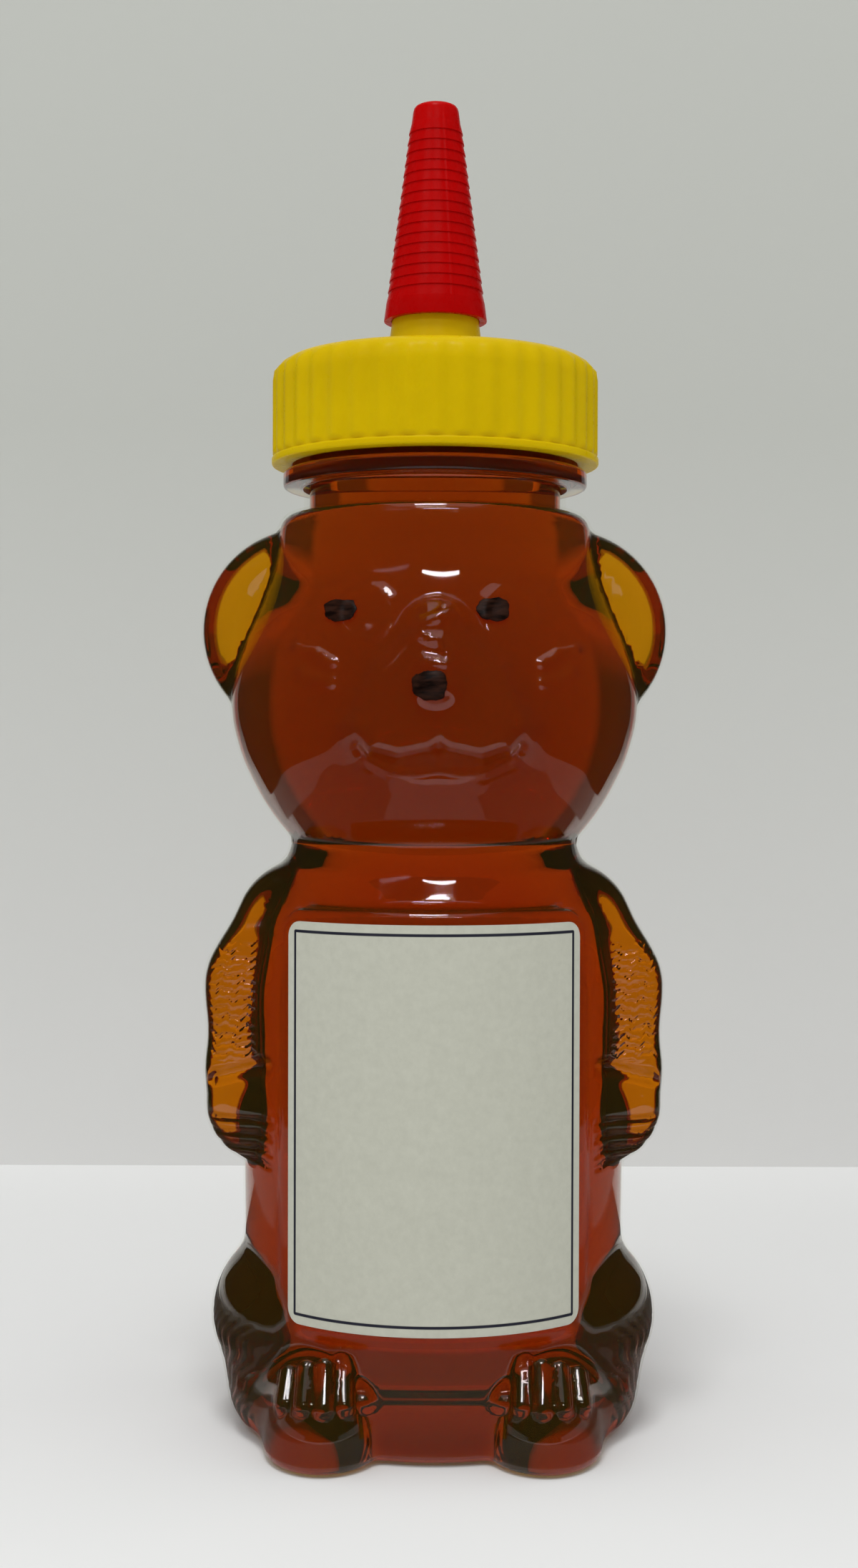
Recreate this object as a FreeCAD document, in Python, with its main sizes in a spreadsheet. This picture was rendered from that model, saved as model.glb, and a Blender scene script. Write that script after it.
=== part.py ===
"""Honey bear bottle: a blown bear-shaped bottle of honey with a screw-on spout cap and a pull-off tip.

Millimetres, +Z up, origin on the floor under the bottle's axis, the bear's face towards -Y.
"""

import FreeCAD, Part
import os

import Sketcher
from FreeCAD import Placement, Rotation, Vector

# Driving dimensions. The torso's and limbs' heights are above the floor, the head's above the neck crease.
SIZES = {
    # torso, a stack of round stations
    "wall_thickness": 0.7,
    "base_radius": 23.0,
    "heel_radius": 24.7,
    "heel_height": 2.8,
    "hip_radius": 25.3,
    "hip_height": 12.8,
    "belly_radius": 25.5,
    "belly_height": 34.0,
    "chest_radius": 25.3,
    "chest_height": 58.5,
    "shoulder_radius": 23.0,
    "shoulder_height": 70.2,
    "crease_radius": 19.2,
    "torso_height": 77.1,
    "dish_radius": 16.0,
    "dish_depth": 1.9,
    # head, another stack
    "jaw_radius": 23.3,
    "jaw_height": 5.75,
    "cheek_radius": 27.7,
    "cheek_height": 18.9,
    "temple_radius": 23.75,
    "temple_height": 31.1,
    "brow_radius": 21.6,
    "brow_height": 37.5,
    "crown_radius": 21.1,
    "crown_height": 41.5,
    "crown_flat_radius": 18.7,
    "head_height": 44.2,
    # neck finish
    "neck_radius": 17.7,
    "neck_height": 3.3,
    "bead_radius": 20.5,
    "bead_thickness": 2.25,
    "finish_radius": 17.55,
    "finish_height": 12.7,
    "bore_radius": 15.5,
    # screw thread shared by the bottle and the cap
    "thread_pitch": 4.23,
    "thread_turns": 1.05,
    "thread_depth": 1.3,
    "thread_width": 1.9,
    "thread_flank": 0.35,
    "thread_root": 0.3,
    "thread_start": 1.6,
    # raised panel on the belly
    "panel_rise": 0.65,
    "panel_half_angle": 51.0,
    "panel_low": 15.1,
    "panel_high": 69.7,
    # face and limbs: the centre of each rounded form and its half sizes
    "muzzle_forward": 21.3,
    "muzzle_height": 16.6,
    "muzzle_half_width": 11.3,
    "muzzle_half_depth": 9.8,
    "muzzle_half_height": 7.9,
    "ear_spread": 17.5,
    "ear_height": 28.4,
    "ear_radius": 14.1,
    "ear_half_thickness": 5.5,
    "ear_dish_forward": 7.0,
    "ear_dish_radius": 10.2,
    "ear_dish_depth": 3.6,
    "arm_spread": 20.2,
    "arm_forward": 1.6,
    "arm_height": 55.2,
    "arm_half_width": 10.0,
    "arm_half_depth": 11.2,
    "arm_half_height": 20.2,
    "arm_lean": 6.0,
    "hand_spread": 22.4,
    "hand_forward": 4.3,
    "hand_height": 39.9,
    "hand_half_width": 8.3,
    "hand_half_depth": 9.2,
    "hand_half_height": 7.7,
    "thigh_spread": 17.8,
    "thigh_forward": 2.7,
    "thigh_height": 12.0,
    "thigh_half_width": 11.7,
    "thigh_half_depth": 16.0,
    "thigh_half_height": 12.7,
    "foot_spread": 14.1,
    "foot_forward": 18.1,
    "foot_height": 3.4,
    "foot_half_width": 7.4,
    "foot_half_depth": 9.8,
    "foot_half_height": 10.2,
    # painted eyes and nose
    "eye_half_width": 2.0,
    "eye_half_height": 1.4,
    "left_eye_across": 11.9,
    "right_eye_across": 7.25,
    "eye_height": 29.8,
    "nose_across": 0.65,
    "nose_height": 20.1,
    "nose_half_width": 2.1,
    "nose_half_height": 1.75,
    "paint_rise": 0.25,
    # honey
    "honey_gap": 0.05,
    "honey_headroom": 6.0,
    # paper label
    "label_width": 40.8,
    "label_low": 16.8,
    "label_height": 51.0,
    "label_thickness": 0.12,
    "label_gap": 0.03,
    "label_corner": 2.8,
    # spout cap
    "cap_clearance": 0.4,
    "skirt_wall": 2.4,
    "skirt_gap": 0.85,
    "flange_height": 0.95,
    "flange_reach": 0.4,
    "grip_ridges": 40,
    "grip_rise": 0.3,
    "deck_thickness": 1.5,
    "deck_round": 2.2,
    "cap_thread_margin": 1.2,
    "spout_base_radius": 6.6,
    "spout_tip_radius": 2.95,
    "spout_length": 27.7,
    "spout_wall": 1.2,
    "orifice_radius": 1.6,
    "orifice_length": 3.2,
    # foam liner ring under the cap's deck
    "liner_thickness": 0.65,
    "liner_gap": 0.25,
    "liner_inner_radius": 13.8,
    # pull-off tip
    "tip_lift": 5.55,
    "tip_height": 29.1,
    "tip_clearance": 0.08,
    "tip_wall": 0.85,
    "tip_roof": 1.5,
    "tip_collar": 2.45,
    "tip_crown": 2.55,
    "tip_ribs": 17,
    "tip_rib_step": 0.15,
    "tip_round": 0.95,
}

doc = FreeCAD.newDocument("HoneyBear")
sheet = doc.addObject("Spreadsheet::Sheet", "Sizes")
for row, (alias, number) in enumerate(SIZES.items(), start=1):
    sheet.set(f"A{row}", alias)
    sheet.set(f"B{row}", str(number))
    sheet.setAlias(f"B{row}", alias)
doc.recompute()


def value(expression):
    """The number that an expression on the sheet gives."""
    return float(sheet.evalExpression(expression))


# Levels up the bottle and its cap, as expressions on the sheet.
CREASE = "Sizes.torso_height"
CROWN = f"({CREASE} + Sizes.head_height)"
BEAD_LOW = f"({CROWN} + Sizes.neck_height)"
BEAD_TOP = f"({BEAD_LOW} + Sizes.bead_thickness)"
RIM = f"({BEAD_TOP} + Sizes.finish_height)"
DECK_LOW = f"({RIM} + Sizes.liner_thickness)"
DECK_TOP = f"({DECK_LOW} + Sizes.deck_thickness)"
SPOUT_END = f"({DECK_TOP} + Sizes.spout_length)"
SKIRT_LOW = f"({BEAD_TOP} + Sizes.skirt_gap)"
FLANGE_TOP = f"({SKIRT_LOW} + Sizes.flange_height)"
TIP_LOW = f"({DECK_TOP} + Sizes.tip_lift)"
TIP_TOP = f"({TIP_LOW} + Sizes.tip_height)"
HONEY_TOP = f"({RIM} - Sizes.honey_headroom)"
THREAD_HIGH = f"({RIM} - Sizes.thread_start - Sizes.thread_width / 2)"
THREAD_LOW = f"({THREAD_HIGH} - Sizes.thread_turns * Sizes.thread_pitch)"

# Radii that more than one piece uses.
PANEL_RADIUS = "(Sizes.belly_radius + Sizes.panel_rise)"
LABEL_RADIUS = f"({PANEL_RADIUS} + Sizes.label_gap)"
CAP_BORE = "(Sizes.finish_radius + Sizes.thread_depth + Sizes.cap_clearance)"
SKIRT_RADIUS = f"({CAP_BORE} + Sizes.skirt_wall)"
SPOUT_SLOPE = "((Sizes.spout_base_radius - Sizes.spout_tip_radius) / Sizes.spout_length)"

# How far inside the bottle's outside each skin lies.
OUTSIDE = "0"
INSIDE = "Sizes.wall_thickness"
HONEY_SKIN = "(Sizes.wall_thickness + Sizes.honey_gap)"


def bind(thing, **expressions):
    """Binds properties of a document object to expressions; two underscores in a name stand for a dot."""
    for name, expression in expressions.items():
        thing.setExpression(name.replace("__", "."), expression)
    return thing


def place(thing, across="0", forward="0", level="0"):
    """Binds an object's place: across is +X, forward is towards the face (-Y), level is +Z."""
    bind(thing, Placement__Base__x=across, Placement__Base__y=f"-({forward})")
    return bind(thing, Placement__Base__z=level)


def fuse(name, shapes):
    joined = doc.addObject("Part::MultiFuse", name)
    joined.Shapes = shapes
    return joined


def cut(name, base, tool):
    left = doc.addObject("Part::Cut", name)
    left.Base = base
    left.Tool = tool
    return left


def cylinder(name, radius, low, high):
    rod = doc.addObject("Part::Cylinder", name)
    bind(rod, Radius=radius, Height=f"{high} - {low}")
    return place(rod, level=low)


def ellipsoid(name, half_width, half_depth, half_height):
    form = doc.addObject("Part::Ellipsoid", name)
    return bind(form, Radius1=half_height, Radius2=half_width, Radius3=half_depth)


def rounded_form(name, part, skin, across="0", floor="0"):
    """The rounded form that the sheet calls part, drawn in by skin."""
    halves = [f"Sizes.{part}_half_{way} - {skin}" for way in ("width", "depth", "height")]
    return place(ellipsoid(name, *halves), across, f"Sizes.{part}_forward", f"{floor} + Sizes.{part}_height")


def round_loft(name, stations):
    """A smooth solid through circles: stations are (radius, level) from the bottom up."""
    rings = []
    for number, (radius, level) in enumerate(stations):
        ring = doc.addObject("Part::Circle", f"{name}_ring{number}")
        rings.append(place(bind(ring, Radius=radius), level=level))
    body = doc.addObject("Part::Loft", name)
    body.Sections = rings
    body.Solid = True
    body.Ruled = False
    return body


def trunk(tag, skin):
    """Torso and head: stacks of round stations that meet at the neck crease."""

    def station(part, level):
        return (f"Sizes.{part}_radius - {skin}", level)

    torso = [station("base", skin)]
    torso += [station(part, f"Sizes.{part}_height") for part in ("heel", "hip", "belly", "chest", "shoulder")]
    crease = station("crease", CREASE)
    head = [station(part, f"{CREASE} + Sizes.{part}_height") for part in ("jaw", "cheek", "temple", "brow")]
    crown = station("crown", f"{CREASE} + Sizes.crown_height - {skin}")
    crown_flat = station("crown_flat", f"{CROWN} - {skin}")
    return [
        round_loft(f"torso_{tag}", torso + [crease]),
        round_loft(f"head_{tag}", [crease] + head + [crown]),
        round_loft(f"crown_{tag}", [crown, crown_flat]),
    ]


def label_panel(tag, skin):
    """The raised field on the belly that carries the label, a sector of a drum."""
    low = f"(Sizes.panel_low + {skin})"
    high = f"(Sizes.panel_high - {skin})"
    panel = cylinder(f"panel_{tag}", f"{PANEL_RADIUS} - {skin}", low, high)
    half_angle = f"(Sizes.panel_half_angle - {skin} / {PANEL_RADIUS} * 180 / pi)"
    bind(panel, Angle=f"2 * {half_angle}")
    panel.Placement.Rotation = Rotation(Vector(0, 0, 1), -90 - value(half_angle))
    return panel


def ear(tag, skin, side):
    """A round ear on the parting plane, dished in front."""
    radius = f"Sizes.ear_radius - {skin}"
    disc = ellipsoid(f"ear_disc_{tag}", radius, f"Sizes.ear_half_thickness - {skin}", radius)
    dish_radius = f"Sizes.ear_dish_radius + {skin}"
    dish = ellipsoid(f"ear_dish_{tag}", dish_radius, f"Sizes.ear_dish_depth + {skin}", dish_radius)
    across = f"{side} * Sizes.ear_spread"
    level = f"{CREASE} + Sizes.ear_height"
    place(disc, across, "0", level)
    place(dish, across, "Sizes.ear_dish_forward", level)
    return cut(f"ear_{tag}", disc, dish)


def bear(tag, skin):
    """The whole bear, drawn in by skin and cut flat at its foot, with the dish of its base."""
    forms = trunk(tag, skin)
    forms.append(label_panel(tag, skin))
    forms.append(rounded_form(f"muzzle_{tag}", "muzzle", skin, floor=CREASE))
    for side, hand in ((-1, "left"), (1, "right")):
        forms.append(ear(f"{hand}_{tag}", skin, side))
        for part in ("arm", "hand", "thigh", "foot"):
            limb = rounded_form(f"{part}_{hand}_{tag}", part, skin, f"{side} * Sizes.{part}_spread")
            if part == "arm":
                limb.Placement.Rotation = Rotation(Vector(0, 1, 0), -side * value("Sizes.arm_lean"))
            forms.append(limb)
    figure = fuse(f"figure_{tag}", forms)
    reach = "(Sizes.cheek_radius + Sizes.ear_radius + Sizes.foot_half_depth)"
    under = doc.addObject("Part::Box", f"under_{tag}")
    bind(under, Length=f"2 * {reach}", Width=f"2 * {reach}", Height=reach)
    place(under, f"-{reach}", reach, f"{skin} - {reach}")
    standing = cut(f"standing_{tag}", figure, under)
    dish_radius = f"Sizes.dish_radius + {skin}"
    dish = ellipsoid(f"base_dish_{tag}", dish_radius, dish_radius, f"Sizes.dish_depth + {skin}")
    return cut(f"bear_{tag}", standing, dish)


def helical_ridge(name, root, crest, level, angle, turns):
    """A right-hand thread ridge with its foot at radius root and its top at radius crest."""
    pitch = value("Sizes.thread_pitch")
    foot = value("Sizes.thread_width") / 2
    top = foot - value("Sizes.thread_flank")
    corners = [(root, -foot), (crest, -top), (crest, top), (root, foot), (root, -foot)]
    pipe = Part.BRepOffsetAPI.MakePipeShell(Part.makeHelix(pitch, pitch * turns, root))
    pipe.setFrenetMode(True)
    pipe.add(Part.makePolygon([Vector(x, 0, z) for x, z in corners]))
    pipe.build()
    pipe.makeSolid()
    ridge = doc.addObject("Part::Feature", name)
    ridge.Shape = pipe.shape()
    ridge.Placement = Placement(Vector(0, 0, level), Rotation(Vector(0, 0, 1), angle))
    return ridge


def bottle(outside):
    """The blown shell: the bear's skin, the neck with its bead and thread, and the hollow inside."""
    neck = cylinder("neck", "Sizes.neck_radius", f"({CROWN} - Sizes.wall_thickness)", BEAD_TOP)
    bead = cylinder("bead", "Sizes.bead_radius", BEAD_LOW, BEAD_TOP)
    finish = cylinder("finish", "Sizes.finish_radius", BEAD_LOW, RIM)
    root = value("Sizes.finish_radius - Sizes.thread_root")
    crest = value("Sizes.finish_radius + Sizes.thread_depth")
    ridge = helical_ridge("bottle_thread", root, crest, value(THREAD_LOW), 0, value("Sizes.thread_turns"))
    solid = fuse("bottle_solid", [outside, neck, bead, finish, ridge])
    bore = cylinder("bore", "Sizes.bore_radius", f"({CROWN} - 2 * Sizes.wall_thickness)", RIM)
    hollow = fuse("bottle_hollow", [bear("inside", INSIDE), bore])
    return cut("bottle", solid, hollow)


def honey():
    """The honey, which fills the bottle to a little below the rim."""
    bottom = f"({CROWN} - 2 * Sizes.wall_thickness)"
    column = cylinder("honey_neck", "Sizes.bore_radius - Sizes.honey_gap", bottom, HONEY_TOP)
    return fuse("honey_fill", [bear("honey", HONEY_SKIN), column])


def paint_spot(name, outside, across, level, half_width, half_height):
    """A dab of paint on the face: a flat ellipsoid set square to the skin and trimmed by it."""
    skin = outside.Shape
    reach = value("Sizes.cheek_radius + Sizes.muzzle_half_depth")
    ray = Part.makeLine(Vector(across, -reach, level), Vector(across, 0, level))
    hit = min((vertex.Point for vertex in skin.common(ray).Vertexes), key=lambda point: point.y)
    face = min(skin.Faces, key=lambda face: face.distToShape(Part.Vertex(hit))[0])
    normal = face.normalAt(*face.Surface.parameter(hit))
    dab = ellipsoid(f"{name}_dab", half_width, "Sizes.paint_rise", half_height)
    dab.Placement = Placement(hit, Rotation(Vector(0, -1, 0), normal))
    return cut(name, dab, outside)


def new_body(name):
    return doc.addObject("PartDesign::Body", name)


def new_sketch(body, name, plane, level=None):
    """A sketch on one of the body's own origin planes, lifted to level."""
    sketch = body.newObject("Sketcher::SketchObject", name)
    support = next(feature for feature in body.Origin.OriginFeatures if feature.Role == plane)
    sketch.AttachmentSupport = [(support, "")]
    sketch.MapMode = "FlatFace"
    if level:
        sketch.setExpression("AttachmentOffset.Base.z", level)
    return sketch


def hold(sketch, constraint, expression):
    """Adds a dimension to a sketch and binds it to an expression."""
    sketch.setExpression(f"Constraints[{sketch.addConstraint(constraint)}]", expression)


def profile(body, name, points):
    """A closed outline in the XZ plane through points given as (radius, level) expressions."""
    sketch = new_sketch(body, name, "XZ_Plane")
    spots = [Vector(value(radius), value(level), 0) for radius, level in points]
    count = len(spots)
    for number, spot in enumerate(spots):
        sketch.addGeometry(Part.LineSegment(spot, spots[(number + 1) % count]))
    for number, (radius, level) in enumerate(points):
        sketch.addConstraint(Sketcher.Constraint("Coincident", number, 2, (number + 1) % count, 1))
        hold(sketch, Sketcher.Constraint("DistanceY", -1, 1, number, 1, spots[number].y), level)
        if radius == "0":
            sketch.addConstraint(Sketcher.Constraint("PointOnObject", number, 1, -2))
        else:
            hold(sketch, Sketcher.Constraint("DistanceX", -1, 1, number, 1, spots[number].x), radius)
    return sketch


def revolve(body, name, points):
    """Turns an outline about the Z axis, with its seam on the -X side."""
    turned = body.newObject("PartDesign::Revolution", name)
    turned.Profile = profile(body, f"{name}_profile", points)
    turned.ReferenceAxis = (turned.Profile[0], ["V_Axis"])
    turned.Midplane = True
    turned.Angle = 360
    doc.recompute()
    return turned


def round_edges(body, name, base, radius, wanted):
    """Rounds the edges of base that wanted picks."""
    edges = [f"Edge{number}" for number, edge in enumerate(base.Shape.Edges, start=1) if wanted(edge)]
    rounding = body.newObject("PartDesign::Fillet", name)
    rounding.Base = (base, edges)
    rounding.setExpression("Radius", radius)
    doc.recompute()
    return rounding


def is_circle(edge, radius, level):
    """True for a circle about the Z axis of this radius at this level."""
    if not isinstance(edge.Curve, Part.Circle):
        return False
    return abs(edge.Curve.Radius - value(radius)) < 1e-4 and abs(edge.Curve.Center.z - value(level)) < 1e-4


def front_label():
    """The paper label: a sheet rolled round the belly panel, with round corners."""
    top = "(Sizes.label_low + Sizes.label_height)"
    outer_radius = f"({LABEL_RADIUS} + Sizes.label_thickness)"
    roll = cylinder("label_roll", outer_radius, "Sizes.label_low", top)
    core = cylinder("label_core", LABEL_RADIUS, "Sizes.label_low", top)
    chord = f"(2 * {LABEL_RADIUS} * sin(Sizes.label_width / {LABEL_RADIUS} * 90 / pi))"
    body = new_body("label_block")
    sketch = new_sketch(body, "label_outline", "XZ_Plane")
    half = value(chord) / 2
    low = value("Sizes.label_low")
    high = value(top)
    corners = [Vector(-half, low, 0), Vector(half, low, 0), Vector(half, high, 0), Vector(-half, high, 0)]
    for number, corner in enumerate(corners):
        sketch.addGeometry(Part.LineSegment(corner, corners[(number + 1) % len(corners)]))
    for number in range(len(corners)):
        sketch.addConstraint(Sketcher.Constraint("Coincident", number, 2, (number + 1) % len(corners), 1))
    sketch.addConstraint(Sketcher.Constraint("Symmetric", 0, 1, 0, 2, -2))
    for number, way in ((1, "Vertical"), (2, "Horizontal"), (3, "Vertical")):
        sketch.addConstraint(Sketcher.Constraint(way, number))
    hold(sketch, Sketcher.Constraint("DistanceX", 0, 1, 0, 2, 2 * half), chord)
    hold(sketch, Sketcher.Constraint("DistanceY", -1, 1, 0, 1, low), "Sizes.label_low")
    hold(sketch, Sketcher.Constraint("DistanceY", 1, 1, 1, 2, high - low), "Sizes.label_height")
    block = body.newObject("PartDesign::Pad", "label_pad")
    block.Profile = sketch
    block.setExpression("Length", outer_radius)
    doc.recompute()
    length = value(outer_radius)
    round_edges(body, "label_corners", block, "Sizes.label_corner",
                lambda edge: abs(edge.BoundBox.YLength - length) < 1e-4)
    label = doc.addObject("Part::Common", "front_label")
    label.Base = cut("label_tube", roll, core)
    label.Tool = body
    return label


def spout_cap():
    """The screw cap: a ridged skirt with an inside thread, a deck and a tapered spout."""
    body = new_body("cap_body")
    flange = f"({SKIRT_RADIUS} + Sizes.flange_reach)"
    throat_top = f"({SPOUT_END} - Sizes.orifice_length)"
    throat_radius = f"(Sizes.spout_base_radius + Sizes.deck_thickness * {SPOUT_SLOPE} - Sizes.spout_wall)"
    points = [
        (CAP_BORE, SKIRT_LOW),
        (flange, SKIRT_LOW),
        (flange, FLANGE_TOP),
        (SKIRT_RADIUS, FLANGE_TOP),
        (SKIRT_RADIUS, DECK_TOP),
        ("Sizes.spout_base_radius", DECK_TOP),
        ("Sizes.spout_tip_radius", SPOUT_END),
        ("Sizes.orifice_radius", SPOUT_END),
        ("Sizes.orifice_radius", throat_top),
        (throat_radius, DECK_LOW),
        (CAP_BORE, DECK_LOW),
    ]
    turned = revolve(body, "cap_turned", points)
    round_edges(body, "deck_edge", turned, "Sizes.deck_round",
                lambda edge: is_circle(edge, SKIRT_RADIUS, DECK_TOP))
    ridge_radius = "(Sizes.skirt_wall / 2)"
    ridge_place = f"({SKIRT_RADIUS} + Sizes.grip_rise - {ridge_radius})"
    sketch = new_sketch(body, "grip_ridge_circle", "XY_Plane", FLANGE_TOP)
    sketch.addGeometry(Part.Circle(Vector(value(ridge_place), 0, 0), Vector(0, 0, 1), value(ridge_radius)))
    sketch.addConstraint(Sketcher.Constraint("PointOnObject", 0, 3, -1))
    hold(sketch, Sketcher.Constraint("DistanceX", -1, 1, 0, 3, value(ridge_place)), ridge_place)
    hold(sketch, Sketcher.Constraint("Radius", 0, value(ridge_radius)), ridge_radius)
    ridge = body.newObject("PartDesign::Pad", "grip_ridge")
    ridge.Profile = sketch
    ridge.setExpression("Length", f"{DECK_TOP} - Sizes.deck_round - {FLANGE_TOP}")
    doc.recompute()
    grip = body.newObject("PartDesign::PolarPattern", "grip")
    grip.Originals = [ridge]
    grip.Axis = (sketch, ["N_Axis"])
    grip.Angle = 360
    grip.setExpression("Occurrences", "Sizes.grip_ridges")
    body.Tip = grip
    doc.recompute()
    root = value(f"{CAP_BORE} + Sizes.thread_root")
    crest = value("Sizes.finish_radius + Sizes.cap_clearance")
    pitch = value("Sizes.thread_pitch")
    below = value(THREAD_LOW) - pitch / 2
    level = value(f"{SKIRT_LOW} + Sizes.cap_thread_margin + Sizes.thread_width / 2")
    turns = (value(THREAD_HIGH) - pitch / 2 - level) / pitch
    ridge_inside = helical_ridge("cap_thread", root, crest, level, 360 * (level - below) / pitch, turns)
    return fuse("spout_cap", [body, ridge_inside])


def liner_ring():
    """The foam ring that seals the cap's deck on the bottle's rim."""
    body = new_body("liner_ring")
    sketch = new_sketch(body, "liner_circles", "XY_Plane", RIM)
    radii = ["Sizes.liner_inner_radius", f"{CAP_BORE} - Sizes.liner_gap"]
    for number, radius in enumerate(radii):
        sketch.addGeometry(Part.Circle(Vector(0, 0, 0), Vector(0, 0, 1), value(radius)))
        sketch.addConstraint(Sketcher.Constraint("Coincident", number, 3, -1, 1))
        hold(sketch, Sketcher.Constraint("Radius", number, value(radius)), radius)
    pad = body.newObject("PartDesign::Pad", "liner_pad")
    pad.Profile = sketch
    pad.setExpression("Length", "Sizes.liner_thickness")
    return body


def tip_cap():
    """The tip: a hollow ribbed cone that pushes over the spout."""
    body = new_body("tip_cap")

    def cone(height):
        fall = f"{SPOUT_SLOPE} * (Sizes.tip_lift + {height})"
        return f"(Sizes.spout_base_radius + Sizes.tip_clearance - {fall})"

    roof = "(Sizes.tip_height - Sizes.tip_roof)"
    def outside(height, step="0"):
        return (f"{cone(height)} + Sizes.tip_wall + {step}", f"{TIP_LOW} + {height}")

    pitch = "(Sizes.tip_height - Sizes.tip_collar - Sizes.tip_crown) / Sizes.tip_ribs"
    ledges = [f"(Sizes.tip_collar + {rib} * {pitch})" for rib in range(int(value("Sizes.tip_ribs")) + 1)]
    points = [(cone("0"), TIP_LOW), outside("0", "Sizes.tip_rib_step")]
    points.append(outside("Sizes.tip_collar", "Sizes.tip_rib_step"))
    for low, high in zip(ledges, ledges[1:]):
        if low != ledges[0]:
            points.append(outside(low, "Sizes.tip_rib_step"))
        points.append(outside(high))
    top = outside("Sizes.tip_height")[0]
    roof_level = f"{TIP_LOW} + {roof}"
    points += [(top, TIP_TOP), ("0", TIP_TOP), ("0", roof_level), (cone(roof), roof_level)]
    turned = revolve(body, "tip_turned", points)
    round_edges(body, "tip_end", turned, "Sizes.tip_round", lambda edge: is_circle(edge, top, TIP_TOP))
    return body


def build():
    """Makes every piece and returns them in the order of assembly."""
    outside = bear("outside", OUTSIDE)
    doc.recompute()
    pieces = [bottle(outside), honey(), front_label()]
    eye_level = value(f"{CREASE} + Sizes.eye_height")
    nose_level = value(f"{CREASE} + Sizes.nose_height")
    spots = [
        ("eye_left", "eye", -value("Sizes.left_eye_across"), eye_level),
        ("eye_right", "eye", value("Sizes.right_eye_across"), eye_level),
        ("nose", "nose", -value("Sizes.nose_across"), nose_level),
    ]
    for name, part, across, level in spots:
        half_sizes = (f"Sizes.{part}_half_width", f"Sizes.{part}_half_height")
        pieces.append(paint_spot(name, outside, across, level, *half_sizes))
    pieces += [liner_ring(), spout_cap(), tip_cap()]
    doc.recompute()
    return pieces


pieces = build()
failed = [thing.Name for thing in doc.Objects if {"Invalid", "Error"} & set(thing.State)]
if failed:
    raise RuntimeError(f"these objects failed: {failed}")
for piece in pieces:
    if piece.Shape.isNull() or not piece.Shape.isValid() or len(piece.Shape.Solids) != 1:
        raise RuntimeError(f"{piece.Label} is not one valid solid")

os.makedirs("parts", exist_ok=True)
for piece in pieces:
    piece.Shape.exportStep(f"parts/{piece.Label}.step")
    box = piece.Shape.optimalBoundingBox(False, False)
    print(f"{piece.Label}: {piece.Shape.Volume / 1000:.3f} ml, z {box.ZMin:.2f} to {box.ZMax:.2f}")
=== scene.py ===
import bpy
import bmesh
import math
import numpy as np
from mathutils import Matrix, Vector


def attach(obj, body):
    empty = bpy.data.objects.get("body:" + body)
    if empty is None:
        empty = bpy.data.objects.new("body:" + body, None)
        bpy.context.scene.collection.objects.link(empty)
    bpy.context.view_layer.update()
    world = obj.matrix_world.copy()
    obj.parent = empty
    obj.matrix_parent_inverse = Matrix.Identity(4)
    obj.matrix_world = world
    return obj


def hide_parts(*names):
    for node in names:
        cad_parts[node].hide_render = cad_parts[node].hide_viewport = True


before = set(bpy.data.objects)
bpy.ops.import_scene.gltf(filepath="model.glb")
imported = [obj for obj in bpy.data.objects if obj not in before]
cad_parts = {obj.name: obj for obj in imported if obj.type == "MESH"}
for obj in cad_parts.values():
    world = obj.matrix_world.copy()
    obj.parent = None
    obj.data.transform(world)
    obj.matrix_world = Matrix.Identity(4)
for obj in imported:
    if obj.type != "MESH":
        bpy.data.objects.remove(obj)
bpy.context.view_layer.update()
scene = bpy.context.scene
mm = 0.001
print("frame loaded:", ", ".join(sorted(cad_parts)))


def shownObject(name, mesh, material):
    obj = bpy.data.objects.new(name, mesh)
    scene.collection.objects.link(obj)
    if material is not None and not mesh.materials:
        mesh.materials.append(material)
    return obj


def smoothShade(mesh):
    mesh.polygons.foreach_set("use_smooth", np.ones(len(mesh.polygons), dtype=bool))
    mesh.update()


def meshFrom(name, verts, faces):
    mesh = bpy.data.meshes.new(name)
    mesh.from_pydata([tuple(v) for v in verts], [], [tuple(f) for f in faces])
    mesh.update()
    return mesh


def outwardFaces(mesh, weld=0.0):
    # turns all faces outwards, after welding doubles where asked
    bm = bmesh.new()
    bm.from_mesh(mesh)
    if weld:
        bmesh.ops.remove_doubles(bm, verts=bm.verts, dist=weld)
    bmesh.ops.recalc_face_normals(bm, faces=bm.faces)
    bm.to_mesh(mesh)
    bm.free()
    smoothShade(mesh)


def past(value, start, width):
    # 0 up to the start, then rising to 1 over the width
    return np.clip((value - start) / width, 0, 1)


def short(value, end, width):
    # falling from 1 over the width to 0 at the end
    return np.clip((end - value) / width, 0, 1)


def smoothMin(a, b, k):
    h = np.maximum(k - np.abs(a - b), 0.0) / k
    return np.minimum(a, b) - h * h * k * 0.25


def smoothMax(a, b, k):
    return -smoothMin(-a, -b, k)


def roundedCurve(points, spread):
    # a profile through (level, radius) points, rounded by a soft average
    levels = np.arange(points[0][0] - 6, points[-1][0] + 6, 0.1)
    radii = np.interp(levels, [p[0] for p in points], [p[1] for p in points])
    steps = np.arange(-3 * spread, 3 * spread + 0.1, 0.1)
    weights = np.exp(-0.5 * (steps / spread) ** 2)
    weights /= weights.sum()
    padded = np.pad(radii, len(steps) // 2, mode="edge")
    radii = np.convolve(padded, weights, mode="valid")[: len(levels)]
    slopes = np.gradient(radii, levels)
    return levels, radii, slopes


def egg(x, y, z, at, half):
    px, py, pz = (x - at[0]) / half[0], (y - at[1]) / half[1], (z - at[2]) / half[2]
    far = np.sqrt(px * px + py * py + pz * pz) + 1e-9
    slope = np.sqrt((px / half[0]) ** 2 + (py / half[1]) ** 2 + (pz / half[2]) ** 2) + 1e-9
    return far * (far - 1.0) / slope


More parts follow.
